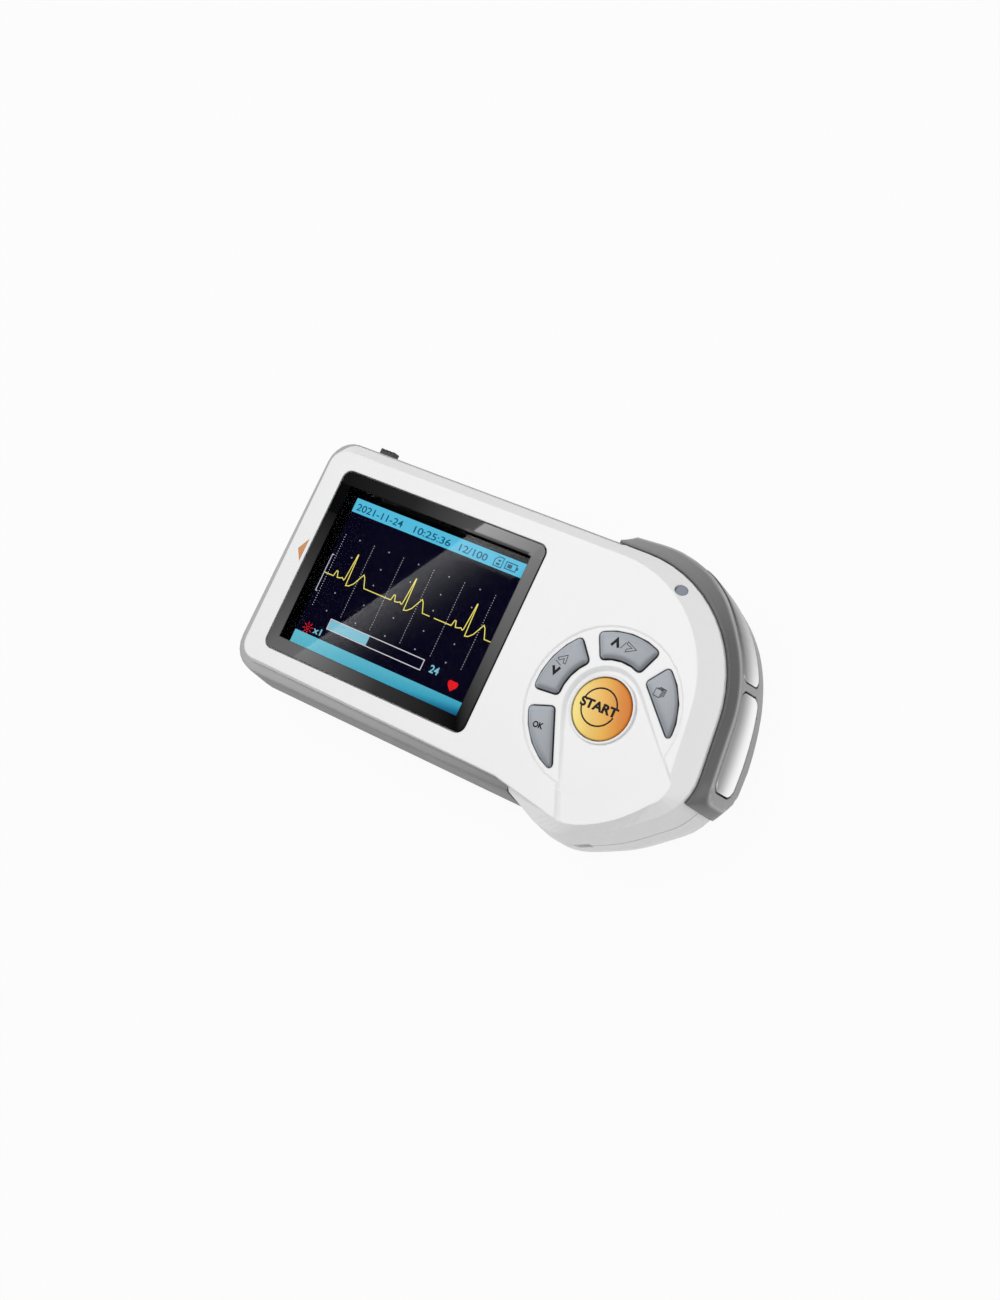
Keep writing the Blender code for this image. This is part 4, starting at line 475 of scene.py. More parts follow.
def smooth_skin(item, sharp=50.0):
    """Smooth shading, with edges over an angle left sharp."""
    for face in item.data.polygons:
        face.use_smooth = True
    item.data.set_sharp_from_angle(angle=math.radians(sharp))


def dress(item, body, slot, material=None, node=None):
    """Gives a piece its material, by default the finish named by its slot, and its body, and hides the CAD node that it
    stands in for.
    """
    item.data.materials.clear()
    item.data.materials.append(material or FINISHES[slot])
    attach(item, body)
    if node:
        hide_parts(node)


def round_corners(corners, steps=24):
    """Points round a closed outline of (x, y, radius) corners."""
    points = []
    for i, (x, y, radius) in enumerate(corners):
        corner = Vector((x, y))
        back = (Vector(corners[i - 1][:2]) - corner).normalized()
        ahead = (Vector(corners[(i + 1) % len(corners)][:2]) - corner).normalized()
        half = back.angle(ahead) / 2
        middle = corner + (back + ahead).normalized() * (radius / math.sin(half))
        first = corner + back * (radius / math.tan(half)) - middle
        sweep = (math.pi - 2 * half) * (-1 if back.cross(ahead) > 0 else 1)
        points += [middle + Matrix.Rotation(sweep * k / steps, 2) @ first for k in range(steps + 1)]
    return points


def between(table, at_place):
    """Value at a place from rising (place, value) pairs."""
    if at_place <= table[0][0]:
        return table[0][1]
    for (a, low), (b, high) in zip(table, table[1:]):
        if at_place <= b:
            return low + (high - low) * (at_place - a) / (b - a)
    return table[-1][1]


# Finer skins of the grip and its finger plates

HEAD_OUTLINE = [(-35.5, -27.6, 7.0), (40.4, -28.0, 4.0), (56.4, -34.6, 11.0), (69.5, -28.4, 38.0),
                (83.1, -17.1, 13.0), (77.8, 29.5, 31.0), (-35.5, 29.5, 5.0)]
HEAD_WALL = [(-24.0, -3.6), (-22.4, -0.8), (-19.5, 0.9), (-16.0, 1.35), (-11.0, 1.1), (-3.2, 0.0)]
GRIP_LENGTH = 71.2
GRIP_END_X = 42.5
GRIP_TOP = -3.9
GRIP_RIDGE = -5.6
GRIP_RIM = -17.2
GRIP_FOOT = -18.4
GRIP_RAMP = 2.9
PAD_RADIUS = 3.4
GRIP_END_RAMP = 1.6
PAD_END_RADIUS = 1.2
RIDGE_DIP = 0.8
RIDGE_DIP_SHARES = (0.55, 0.90)
GRIP_SEAT = 0.12
GRIP_CLEARANCE = 0.43
GRIP_EDGE = 0.4
BORDER_SOFT = 0.06
RIDGE_OUTS = [(0.0, 3.0), (0.5, 3.0), (0.56, 3.3), (0.63, 3.9), (0.70, 4.25), (0.82, 4.0), (0.90, 3.5), (1.0, 3.0)]
RIM_OUT = 4.7
PAD_CROWN = 0.2
RIM_SHARES = [(0.0, 0.80), (0.09, 0.93), (0.16, 1.0), (0.22, 0.97), (0.30, 0.86), (0.37, 0.82), (0.50, 0.82),
              (0.60, 0.77), (0.72, 0.68), (1.0, 0.62)]
# The grip's greys: the border's own darker grey with painted shade that changes along the grip (by share of its
# length), the pad's grey, a painted highlight along the crest and painted shade in the plates' pockets
SLOPE_SHADES = [(0.0, 0.13), (0.05, 0.10), (0.3, 0.085), (0.5, 0.10), (0.65, 0.15), (0.8, 0.21), (1.0, 0.25)]
PAD_SHADE = 0.36
CREST_HIGHLIGHT = 0.52
POCKET_SHADE = 0.03
OUTSIDE_GAP = 0.3
PLATE_TOP = -6.3
PLATE_FOOT = -14.3
PLATE_RADIUS = 1.9
PLATE_PROUD = 0.22
PLATE_SUNK = 0.8
PLATE_ROLL = 0.75
PLATE_ROLL_DROP = 0.42
POCKET_REACH = 1.2
POCKET_GAP = 0.3
EDGE_SHARES = [0.0, 0.012, 0.03, 0.055, 0.085, 0.13, 0.2, 0.3, 0.4]
STUD_HEIGHT = -9.5
STUD_RADIUS = 0.9
STUD_DEPTHS = (6.1, 0.5)
# Painted reflection on the finger plates: greys along each plate (by share of the grip's length) and across it from
# foot to top, darker towards the crown and towards the top edge
PLATE_LENGTH_SHADES = [(0.0, 1.0), (0.33, 1.0), (0.40, 0.9), (0.5, 0.58), (0.6, 0.33), (0.7, 0.14), (0.76, 0.08)]
PLATE_WIDTH_SHADES = [(0.0, 0.97), (0.25, 0.95), (0.45, 0.80), (0.65, 0.55), (0.85, 0.36), (1.0, 0.28)]
PLATE_MARK = (4.0, -10.0)
# Start, end and stud of each plate along the grip
PLATES = {"lower_finger_electrode": (4.9, 25.6, 15.25), "upper_finger_electrode": (27.7, 53.0, 42.25)}


class GripLine:
    """The head's outline under the grip, from the heel round the crown."""

    def __init__(self):
        points = round_corners(HEAD_OUTLINE)
        points.append(points[0])
        runs = [0.0]
        for a, b in zip(points, points[1:]):
            runs.append(runs[-1] + (b - a).length)
        last = next(i for i in range(len(points) - 1)
                    if points[i].y > 0 and points[i].x > GRIP_END_X > points[i + 1].x)
        end = runs[last] + points[last].x - GRIP_END_X
        self.start, self.points, self.runs = end - GRIP_LENGTH, points, runs

    def plan(self, distance):
        reach = self.start + distance
        i = next(k for k in range(len(self.runs) - 1) if self.runs[k + 1] >= reach)
        a, b = self.points[i], self.points[i + 1]
        return a.lerp(b, (reach - self.runs[i]) / max(self.runs[i + 1] - self.runs[i], 1e-9))

    def point(self, distance, out, height):
        place = self.plan(distance)
        ahead = self.plan(min(distance + 0.6, GRIP_LENGTH)) - self.plan(max(distance - 0.6, 0.0))
        normal = Vector((ahead.y, -ahead.x)).normalized()
        return at(place.x + normal.x * out, place.y + normal.y * out, height)


def pad_out(distance, height):
    rim = RIM_OUT * between(RIM_SHARES, distance / GRIP_LENGTH)
    ridge = between(RIDGE_OUTS, distance / GRIP_LENGTH)
    down = (GRIP_RIDGE - height) / (GRIP_RIDGE - GRIP_RIM)
    return ridge + (rim - ridge) * down + PAD_CROWN * 4 * down * (1 - down)


def ridge_dip(distance):
    """How far the ridge and the plate's edge drop towards the grip's upper end."""
    first, last = RIDGE_DIP_SHARES
    share = bounded((distance / GRIP_LENGTH - first) / (last - first))
    return RIDGE_DIP * share * share * (3 - 2 * share)


def border_share(distance, height):
    """Nought on the pad, one at the grip's outer edge; the pad's corners are round."""
    low_end = distance < GRIP_LENGTH / 2
    radius, ramp = (PAD_RADIUS, GRIP_RAMP) if low_end else (PAD_END_RADIUS, GRIP_END_RAMP)
    from_end = distance if low_end else GRIP_LENGTH - distance
    nearest = min(from_end, GRIP_TOP - height, height - GRIP_FOOT)
    if nearest <= 0:
        return 1.0
    along = ramp + radius - from_end
    ridge = GRIP_RIDGE - ridge_dip(distance)
    across = max(height - (ridge - radius), GRIP_RIM + radius - height)
    outside = (math.hypot(along, across) if min(along, across) > 0 else max(along, across)) - radius
    return max(0.0, outside) / (max(0.0, outside) + nearest)


def grip_out(distance, height):
    wall = between(HEAD_WALL, height) + GRIP_CLEARANCE
    share = border_share(distance, height)
    share = (math.hypot(share, BORDER_SOFT) - BORDER_SOFT) / (math.hypot(1, BORDER_SOFT) - BORDER_SOFT)
    return wall + GRIP_EDGE + (pad_out(distance, height) - wall - GRIP_EDGE) * (1 - share)


def finger_plate(line, name, start, end, growth=0.0):
    """A bent plate with round corners and a rolled edge, or the pocket for it."""
    proud, sunk, roll_drop = (POCKET_REACH, POCKET_REACH, 0.0) if growth else (PLATE_PROUD, PLATE_SUNK,
                                                                              PLATE_ROLL_DROP)
    radius, low, high = PLATE_RADIUS + growth, PLATE_FOOT - growth, PLATE_TOP + growth
    start, end = start - growth, end + growth
    corner = [radius * (1 - math.cos(math.pi / 2 * k / 10)) for k in range(10)]
    run = corner + spread(radius, end - start - 2 * radius, 44) + [end - start - s for s in reversed(corner)]
    run[0], run[-1] = 0.01, end - start - 0.01
    shares = EDGE_SHARES + [0.5] + [1 - s for s in reversed(EDGE_SHARES)]
    rings = []
    for s in run:
        from_end = min(s, end - start - s)
        short = radius - from_end
        inset = radius - math.sqrt(max(radius ** 2 - short ** 2, 0.0)) if short > 0 else 0.0
        dip = ridge_dip(start + s)
        bottom, top = low + inset, high - inset - dip
        heights = [bottom + (top - bottom) * share for share in shares]
        face = []
        for h in heights:
            reach = from_end, min(h - low, high - dip - h)
            gap = [radius - r for r in reach]
            inside = radius - math.hypot(*gap) if min(gap) > 0 else min(reach)
            drop = roll_drop * (1 - math.sqrt(1 - bounded(1 - inside / PLATE_ROLL) ** 2))
            face.append(line.point(start + s, pad_out(start + s, h) + proud - drop, h))
        back = [line.point(start + s, pad_out(start + s, h) - sunk, h) for h in reversed(heights)]
        rings.append(face + back)
    return closed_mesh(name, rings)


def stud(line, distance):
    """The rod behind a plate."""
    base, tip = (line.point(distance, pad_out(distance, STUD_HEIGHT) - depth, STUD_HEIGHT) for depth in STUD_DEPTHS)
    along = (tip - base).normalized()
    side = along.cross(Z_AXIS).normalized()
    return closed_mesh("stud", [circle(end, side, side.cross(along), STUD_RADIUS, 20) for end in (base, tip)])


def shade_grip(item, places, shades):
    """Gives each point the shade of the nearest place outside, and painted shade, near black, to the pockets."""
    tree = KDTree(len(places))
    for i, place in enumerate(places):
        tree.insert(place, i)
    tree.balance()
    values = []
    for corner in item.data.vertices:
        _, i, gap = tree.find(corner.co)
        values.append(shades[i] if gap < OUTSIDE_GAP * MM else POCKET_SHADE)
    write_points(item.data, "shade", values)


def grip_shade(distance, height):
    """The pad's grey, a painted highlight along its crest, and the border's darker grey with painted shade that changes
    along the grip.
    """
    slope = PAD_SHADE * 0.8 if height < GRIP_RIM else between(SLOPE_SHADES, distance / GRIP_LENGTH)
    return between([(0.0, PAD_SHADE), (0.03, CREST_HIGHLIGHT), (0.12, CREST_HIGHLIGHT * 0.8), (0.28, slope), (0.8, slope),
                    (1.0, slope * 0.9)], border_share(distance, height))


def shade_plate(line, item, start, end):
    """Painted reflection: greys like those that the bent steel mirrors, darker to the crown and to the face of the
    machine.
    """
    values = []
    marks = [(distance, line.point(distance, *PLATE_MARK)) for distance in spread(start, end - start, 40)]
    for corner in item.data.vertices:
        distance = min(marks, key=lambda mark: (mark[1].xy - corner.co.xy).length)[0]
        across = ((corner.co.z - DATUM.z) / MM - PLATE_FOOT) / (PLATE_TOP - PLATE_FOOT)
        values.append(between(PLATE_LENGTH_SHADES, distance / GRIP_LENGTH) * between(PLATE_WIDTH_SHADES, across))
    write_points(item.data, "shade", values)


def grip_and_plates():
    line = GripLine()
    ramp = spread(0.0, GRIP_RAMP, 12)[:-1]
    run = ramp + spread(GRIP_RAMP, GRIP_LENGTH - 2 * GRIP_RAMP, 124) + [GRIP_LENGTH - s for s in reversed(ramp)]
    heights = (spread(GRIP_FOOT, GRIP_RIM - GRIP_FOOT, 6)[:-1] + spread(GRIP_RIM, GRIP_RIDGE - GRIP_RIM, 22)
               + spread(GRIP_RIDGE, GRIP_TOP - GRIP_RIDGE, 8)[1:])
    rings, places, shades = [], [], []
    for s in run:
        outer = [line.point(s, grip_out(s, h), h) for h in heights]
        inner = [line.point(s, between(HEAD_WALL, h) + GRIP_SEAT, h) for h in reversed(heights)]
        rings.append(outer + inner)
        places += outer
        shades += [grip_shade(s, h) for h in heights]
    grip = closed_mesh("grip_skin", rings)
    for name, (start, end, stud_at) in PLATES.items():
        cut_out(grip, finger_plate(line, "pocket", start, end, POCKET_GAP))
        plate = finger_plate(line, name + "_skin", start, end)
        smooth_skin(plate, 60.0)
        shade_plate(line, plate, start, end)
        merge(plate, stud(line, stud_at))
        dress(plate, "case", "electrode_steel", PLATE_FINISH, name)
    shade_grip(grip, places, shades)
    smooth_skin(grip, 35.0)
    dress(grip, "case", "grey_plastic", GRIP_FINISH, "grip")


grip_and_plates()


# Finer keys, start button and status light

KEYPAD_TURN = math.radians(125.5)
KEY_INNER, KEY_OUTER = 11.0, 17.0
KEY_CORNER, KEY_TIP = 0.9, 0.6
SCOOP_SPREAD = math.radians(11)
UPPER_KEY_ANGLES = (math.radians(7), math.radians(59))
LOWER_KEY_ANGLE = math.radians(73)
OUTLINE_STEP = 0.3
TOP_STEP = 0.34
KEY_TOP = 0.1
KEY_ROLL = 1.0
KEY_ROLL_DROP = 0.5
KEY_RIM = 1.1
# Painted light on the keys: a broad lightening to the upper left, painted highlights on rims facing the upper left,
# painted shade on those facing the lower right, and a dark line of painted shade along each outline
KEY_PAINTED_LIGHT_SLOPE = 0.024
RIM_LIGHT = Vector((-0.75, 0.66))
RIM_GAIN = 0.30
RIM_LOSS = 0.55
RIM_FALL = 0.7
KEY_LINE = 0.11
KEY_LINE_REACH = 0.05
KEY_LINE_SHADE = 0.08
FLANGE_TOP, FLANGE_FOOT, STEM_FOOT = -2.5, -3.2, -4.1
STEM_RADIUS = 1.4
START_RADIUS, START_FLANGE = 6.8, 7.6
START_ROLL = 0.45
START_TOP, START_DISH, START_DISH_POWER = 0.3, 0.42, 2.2
TIP_RADIUS = 0.02
LIGHT_TILT, LIGHT_TURN = math.radians(28), math.radians(62)
LIGHT_PROFILE = [(TIP_RADIUS, 1.6), (0.6, 1.57), (1.1, 1.48), (1.38, 1.38), (1.42, 1.25), (1.42, 0.3), (1.2, 0.2),
                 (1.2, -1.5)]


def around(x, y, radius, angle):
    return x + radius * math.cos(angle), y + radius * math.sin(angle)


def on_circle(radius, angle):
    return Vector(around(0.0, 0.0, radius, angle))


def sector(radius, start, end, steps=16):
    return [(*on_circle(radius, start + (end - start) * k / steps), 0.0) for k in range(1, steps)]


def key_corner(radius, angle):
    return [(*on_circle(radius, angle), KEY_CORNER)]


def upper_key():
    first, last = UPPER_KEY_ANGLES
    return (key_corner(KEY_OUTER, first) + sector(KEY_OUTER, first, last) + key_corner(KEY_OUTER, last)
            + key_corner(KEY_INNER, last) + sector(KEY_INNER, last, first) + key_corner(KEY_INNER, first))


def lower_key():
    tangent = math.pi / 2 - SCOOP_SPREAD
    run = math.sqrt(KEY_OUTER ** 2 - KEY_INNER ** 2)
    start = on_circle(KEY_INNER, tangent)
    tip = start + Vector((-math.cos(SCOOP_SPREAD), math.sin(SCOOP_SPREAD))) * run
    return (key_corner(KEY_OUTER, LOWER_KEY_ANGLE)
            + sector(KEY_OUTER, LOWER_KEY_ANGLE, math.atan2(tip.y, tip.x), 24)
            + [(*tip, KEY_TIP), (*start, KEY_INNER / 2)] + key_corner(KEY_INNER, LOWER_KEY_ANGLE))


def sides(outline):
    """The sides of a closed outline, as pairs of points."""
    return zip(outline, outline[1:] + outline[:1])


def key_outline(corners, side):
    """Points round a key in plan, anticlockwise, for the left (1) or right (-1) hand."""
    placed = []
    for p, q, radius in corners:
        place = Matrix.Rotation(KEYPAD_TURN, 2) @ Vector((p, q * side)) + Vector(START_PLACE)
        placed.append((place.x, place.y, radius))
    placed = placed if side > 0 else placed[::-1]
    points = []
    for i, corner in enumerate(placed):
        if corner[2] == 0:
            points.append(Vector(corner[:2]))
        else:
            near = [placed[i - 1], corner, placed[(i + 1) % len(placed)]]
            points += round_corners(near, 8)[9:18]
    result = []
    for a, b in sides(points):
        count = max(1, round((b - a).length / OUTLINE_STEP))
        result += [a.lerp(b, k / count) for k in range(count)]
    return result


def edge_distance(place, outline):
    nearest = 1e9
    for a, b in sides(outline):
        along = b - a
        share = bounded((place - a).dot(along) / max(along.length_squared, 1e-12))
        nearest = min(nearest, (place - a - along * share).length)
    return nearest


def inner_points(outline):
    """Points for the top of a cap: a ring just inside the outline and an even pattern within."""
    xs, ys = [p.x for p in outline], [p.y for p in outline]
    inside = []
    for before, place, after in zip(outline[-1:] + outline[:-1], outline, outline[1:] + outline[:1]):
        along = (after - before).normalized()
        inside.append(place - Vector((along.y, -along.x)) * KEY_LINE)
    for i in range(int((max(xs) - min(xs)) / TOP_STEP)):
        for j in range(int((max(ys) - min(ys)) / TOP_STEP)):
            place = Vector((min(xs) + (i + 0.5 * (j % 2)) * TOP_STEP, min(ys) + j * TOP_STEP))
            turns = sum((a.y > place.y) != (b.y > place.y)
                        and place.x < (b.x - a.x) * (place.y - a.y) / (b.y - a.y) + a.x
                        for a, b in sides(outline))
            if turns % 2 and edge_distance(place, outline) > KEY_LINE + TOP_STEP * 0.3:
                inside.append(place)
    return inside


def rolled_cap(name, outline, top, foot):
    """A cap whose top rolls down to its edge."""
    count = len(outline)
    edges = [(k, (k + 1) % count) for k in range(count)]
    places, _, faces, *_ = delaunay_2d_cdt(outline + inner_points(outline), edges, [tuple(range(count))], 1, 1e-5)
    work = bmesh.new()
    corners = [work.verts.new((p.x, p.y, 0.0)) for p in places]
    for face in faces:
        work.faces.new([corners[i] for i in face])
    for corner in corners:
        roll = bounded(1 - edge_distance(corner.co.xy, outline) / KEY_ROLL)
        corner.co.z = top - KEY_ROLL_DROP * (1 - math.sqrt(1 - roll ** 2))
    face_up(work)
    return thicken(name, work, foot=foot)


def turned_skin(name, profile, x, y, steps=96):
    """A round piece from a profile of (radius, height) points."""
    return closed_mesh(name, [[at(*around(x, y, radius, 2 * math.pi * k / steps), height) for k in range(steps)]
                              for radius, height in profile])


def outline_middle(outline):
    return sum(outline, Vector((0, 0))) / len(outline)


def shade_key(item, outline):
    """Painted highlights on the rims to the upper left and painted shade on those to the lower right, a broad painted
    lightening to the upper left, and a dark line of painted shade along the outline.
    """
    values = []
    for corner in item.data.vertices:
        place = (corner.co.xy - DATUM.xy) / MM
        a, b = min(sides(outline), key=lambda side: ((side[0] + side[1]) / 2 - place).length)
        facing = Vector((b.y - a.y, a.x - b.x)).normalized().dot(RIM_LIGHT)
        gap = edge_distance(place, outline)
        rim = max(0.0, 1 - gap / KEY_RIM) ** RIM_FALL
        broad = 1 + KEY_PAINTED_LIGHT_SLOPE * (place - outline_middle(outline)).dot(RIM_LIGHT)
        line = KEY_LINE_SHADE if gap < KEY_LINE_REACH else 1.0
        values.append(line * broad * (1 + (RIM_GAIN if facing > 0 else RIM_LOSS) * facing * rim))
    write_points(item.data, "shade", values)


def key_caps():
    for name, shape, side in (("ok_key", lower_key, 1), ("down_key", upper_key, 1),
                              ("up_key", upper_key, -1), ("page_key", lower_key, -1)):
        outline = key_outline(shape(), side)
        cap = rolled_cap(name + "_cap", outline, KEY_TOP, FLANGE_FOOT)
        shade_key(cap, outline)
        merge(cap, turned_skin("stem", [(STEM_RADIUS, FLANGE_TOP), (STEM_RADIUS, STEM_FOOT)],
                               *outline_middle(outline), 24))
        smooth_skin(cap)
        dress(cap, name, "key_grey", KEY_FINISH, name)


def start_cap():
    """The start button: a shallow dish with a rolled edge, a flange and a stem."""
    flat, edge = START_RADIUS - START_ROLL, START_TOP - START_DISH
    profile = [(TIP_RADIUS, START_TOP)]
    profile += [(flat * k / 14, START_TOP - START_DISH * (k / 14) ** START_DISH_POWER) for k in range(1, 15)]
    profile += [(flat + START_ROLL * math.sin(t), edge - START_ROLL * (1 - math.cos(t)))
                for t in spread(0.0, math.pi / 2, 6)[1:]]
    profile += [(START_RADIUS, FLANGE_TOP), (START_FLANGE, FLANGE_TOP), (START_FLANGE, FLANGE_FOOT),
                (STEM_RADIUS, FLANGE_FOOT), (STEM_RADIUS, STEM_FOOT), (TIP_RADIUS, STEM_FOOT)]
    cap = turned_skin("start_button_cap", profile, *START_PLACE)
    smooth_skin(cap)
    dress(cap, "start_button", "start_orange", node="start_button")


def status_light():
    """The light's window, domed, filling its hole along the same slanting axis."""
    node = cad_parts["status_light_lens"]
    corners = [node.matrix_world @ v.co for v in node.data.vertices]
    middle = sum(corners, Vector()) / len(corners)
    axis = Vector((*on_circle(math.sin(LIGHT_TILT), LIGHT_TURN), math.cos(LIGHT_TILT)))
    side = axis.orthogonal().normalized()
    up = axis.cross(side)
    window = closed_mesh("status_light_window", [circle(middle, side, up, radius, 40, axis * reach)
                                                 for radius, reach in LIGHT_PROFILE])
    smooth_skin(window)
    dress(window, "case", "light_pipe", node="status_light_lens")


key_caps()
start_cap()
status_light()


# Marks

PRINT_DEPTH = 0.02
INK_LIFT = 0.02
INK_THICKNESS = 0.05
SMALLEST_GAP = 0.0005


class Surface:
    """The outside of a shown piece, for laying print on it from above."""

    def __init__(self, item):
        view = item.evaluated_get(bpy.context.evaluated_depsgraph_get())
        mesh = view.to_mesh()
        mesh.calc_loop_triangles()
        self.tree = BVHTree.FromPolygons([item.matrix_world @ v.co for v in mesh.vertices],
                                         [tuple(t.vertices) for t in mesh.loop_triangles])
        view.to_mesh_clear()

    def height(self, x, y, above=30.0):
        place = self.tree.ray_cast(at(x, y, above), -Z_AXIS)[0]
        return (place.z - DATUM.z) / MM if place else 0.0


def closed_print(name, shapes, level, material, body, finish, lift=0.0, thickness=PRINT_DEPTH):
    """Thin closed shapes from plan outlines, at a level or laid on a surface."""
    laid = isinstance(level, Surface)
    work = bmesh.new()
    for shape in shapes:
        work.faces.new([work.verts.new((x, y, 0.0)) for x, y in shape])
    bmesh.ops.triangulate(work, faces=work.faces[:])
    bmesh.ops.remove_doubles(work, verts=work.verts[:], dist=SMALLEST_GAP)
    for reach in (1.2, 0.6) if laid else ():
        long = [e for e in work.edges if e.calc_length() > reach]
        bmesh.ops.subdivide_edges(work, edges=long, cuts=1)
        bmesh.ops.triangulate(work, faces=work.faces[:])
    face_up(work)
    for corner in work.verts:
        corner.co.z = (level.height(*corner.co.xy) if laid else level) + lift
    dress(thicken(name, work, thickness), body, finish, material)


def rectangle(x0, x1, y0, y1):
    return [(x0, y0), (x1, y0), (x1, y1), (x0, y1)]


def dot(x, y, half_width, half_height):
    return rectangle(x - half_width, x + half_width, y - half_height, y + half_height)


def ribbon(points, width, closed=False):
    """Four-sided shapes along a line, mitred where it turns."""
    count = len(points)
    places = [Vector(p) for p in points]
    left, right = [], []
    for i, place in enumerate(places):
        back = place - places[i - 1] if i or closed else None
        ahead = places[(i + 1) % count] - place if i < count - 1 or closed else None
        back = (back or ahead).normalized()
        ahead = (ahead or back).normalized()
        along = (back + ahead).normalized()
        side = Vector((-along.y, along.x))
        reach = width / 2 / max(0.45, side.dot(Vector((-ahead.y, ahead.x))))
        left.append(tuple(place + side * reach))
        right.append(tuple(place - side * reach))
    last = count if closed else count - 1
    return [[right[i], right[(i + 1) % count], left[(i + 1) % count], left[i]] for i in range(last)]


def outline_of(shape, width):
    return ribbon(shape, width, closed=True)


def arc(x, y, radius, start, end, steps=24):
    """Points along part of a circle, angles in degrees."""
    return [around(x, y, radius, math.radians(turn)) for turn in spread(start, end - start, steps)]


def lettering(words, x0, x1, y0, y1, weight=0.0, turn=0.0):
    """Triangles of plain lettering that fill a box, turned about its middle."""
    curve = bpy.data.curves.new("lettering", "FONT")
    curve.body = words
    curve.offset = weight
    carrier = place_object("lettering", curve)
    bpy.context.view_layer.update()
    mesh = bpy.data.meshes.new_from_object(carrier.evaluated_get(bpy.context.evaluated_depsgraph_get()))
    bpy.data.objects.remove(carrier)
    xs, ys = [v.co.x for v in mesh.vertices], [v.co.y for v in mesh.vertices]
    middle = Vector(((x0 + x1) / 2, (y0 + y1) / 2))
    spin = Matrix.Rotation(math.radians(turn), 2)
    placed = []
    for v in mesh.vertices:
        share = Vector(((v.co.x - min(xs)) / (max(xs) - min(xs)) - 0.5,
                        (v.co.y - min(ys)) / (max(ys) - min(ys)) - 0.5))
        placed.append(tuple(middle + spin @ Vector((share.x * (x1 - x0), share.y * (y1 - y0)))))
    shapes = [[placed[i] for i in face.vertices] for face in mesh.polygons]
    bpy.data.meshes.remove(mesh)
    return shapes


# Display picture

PANEL_TOP = (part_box("lcd_panel")[1].z - DATUM.z) / MM
PICTURE_LIFT = 0.03
SCREEN = (-24.45, 24.75, -19.45, 17.65)
HEADER_FOOT = 14.25
FOOTER_TOP = -16.2
BASE_LINE = -1.4
BEATS = (-17.35, -0.09, 17.45)
BEAT = [(-4.5, 0.0), (-3.9, 0.0), (-3.55, 1.4), (-3.2, 1.4), (-2.7, 0.0), (-1.8, 0.15), (-1.35, 0.4), (-0.75, 0.0),
        (-0.55, 0.3), (0.0, 6.7), (0.12, 6.7), (0.42, -1.0), (1.3, -0.8), (2.3, 0.1), (2.9, 1.2), (3.85, 2.9),
        (4.4, 2.3), (5.4, 0.0)]
TRACE_ENDS = (-23.9, 7.4, 8.65)
TRACE_WIDTH = 0.21
# Layers, as lifts over the panel
FIELD_LAYER, BAR_LAYER, SCALE_LAYER, SIGN_LAYER, TOP_LAYER = 0.05, 0.08, 0.085, 0.09, 0.11
HEADER_WORDS = [("2021-11-24", -23.5, -9.8), ("10:25:36", -6.4, 4.2), ("12/100", 6.8, 14.6)]
HEADER_WORD_HEIGHTS = (14.85, 16.55)
CARD_SIGN = [(16.6, 14.75), (18.8, 14.75), (18.8, 17.0), (17.4, 17.0), (16.6, 16.2)]
CARD_BARS = [(17.2, 18.2, 15.1, 15.6), (17.5, 18.2, 16.0, 16.4)]
BATTERY_SIGN = (19.7, 22.6, 15.0, 16.6)
BATTERY_BARS = [(22.75, 23.1, 15.5, 16.1), (20.2, 21.4, 15.35, 16.25)]
TIME_LINES = (-23.0, -14.36, -5.64, 3.23, 12.0, 20.73)
TIME_LINE_TOP, TIME_LINE_RUN, TIME_LINE_GAPS = 8.6, -18.1, 30
TIME_DOT = (0.075, 0.075)
GRID_XS, GRID_YS = (-18.7, -9.95, -1.2, 7.6, 16.4), (8.55, 4.1, 0.1, -4.95, -9.5)
GRID_MIDDLE, GRID_MIDDLE_XS = 0.1, (-9.95, 7.6)
GRID_DOT = (0.14, 0.13)
SCALE_SIGN = [(-23.55, 3.2), (-24.05, 3.2), (-24.05, -6.05), (-23.55, -6.05)]
PROGRESS_FRAME, PROGRESS_FILL = (-16.5, 11.1, -13.35, -10.85), (-16.35, -4.85, -13.22, -10.98)
NUMBERS = [("24", 13.3, 15.8, -12.95, -11.1), ("x1", -19.75, -17.4, -15.5, -13.9)]
HEART_PLACE = (20.45, -13.75)
HEART = [(0, -1.25), (1.15, -0.1), (1.38, 0.45), (1.3, 0.95), (0.9, 1.22), (0.45, 1.15), (0, 0.75), (-0.45, 1.15),
         (-0.9, 1.22), (-1.3, 0.95), (-1.38, 0.45), (-1.15, -0.1)]
ALARM_PLACE = (-21.4, -14.85)
ALARM_RING, ALARM_RAYS = 0.38, (0.72, 1.45)


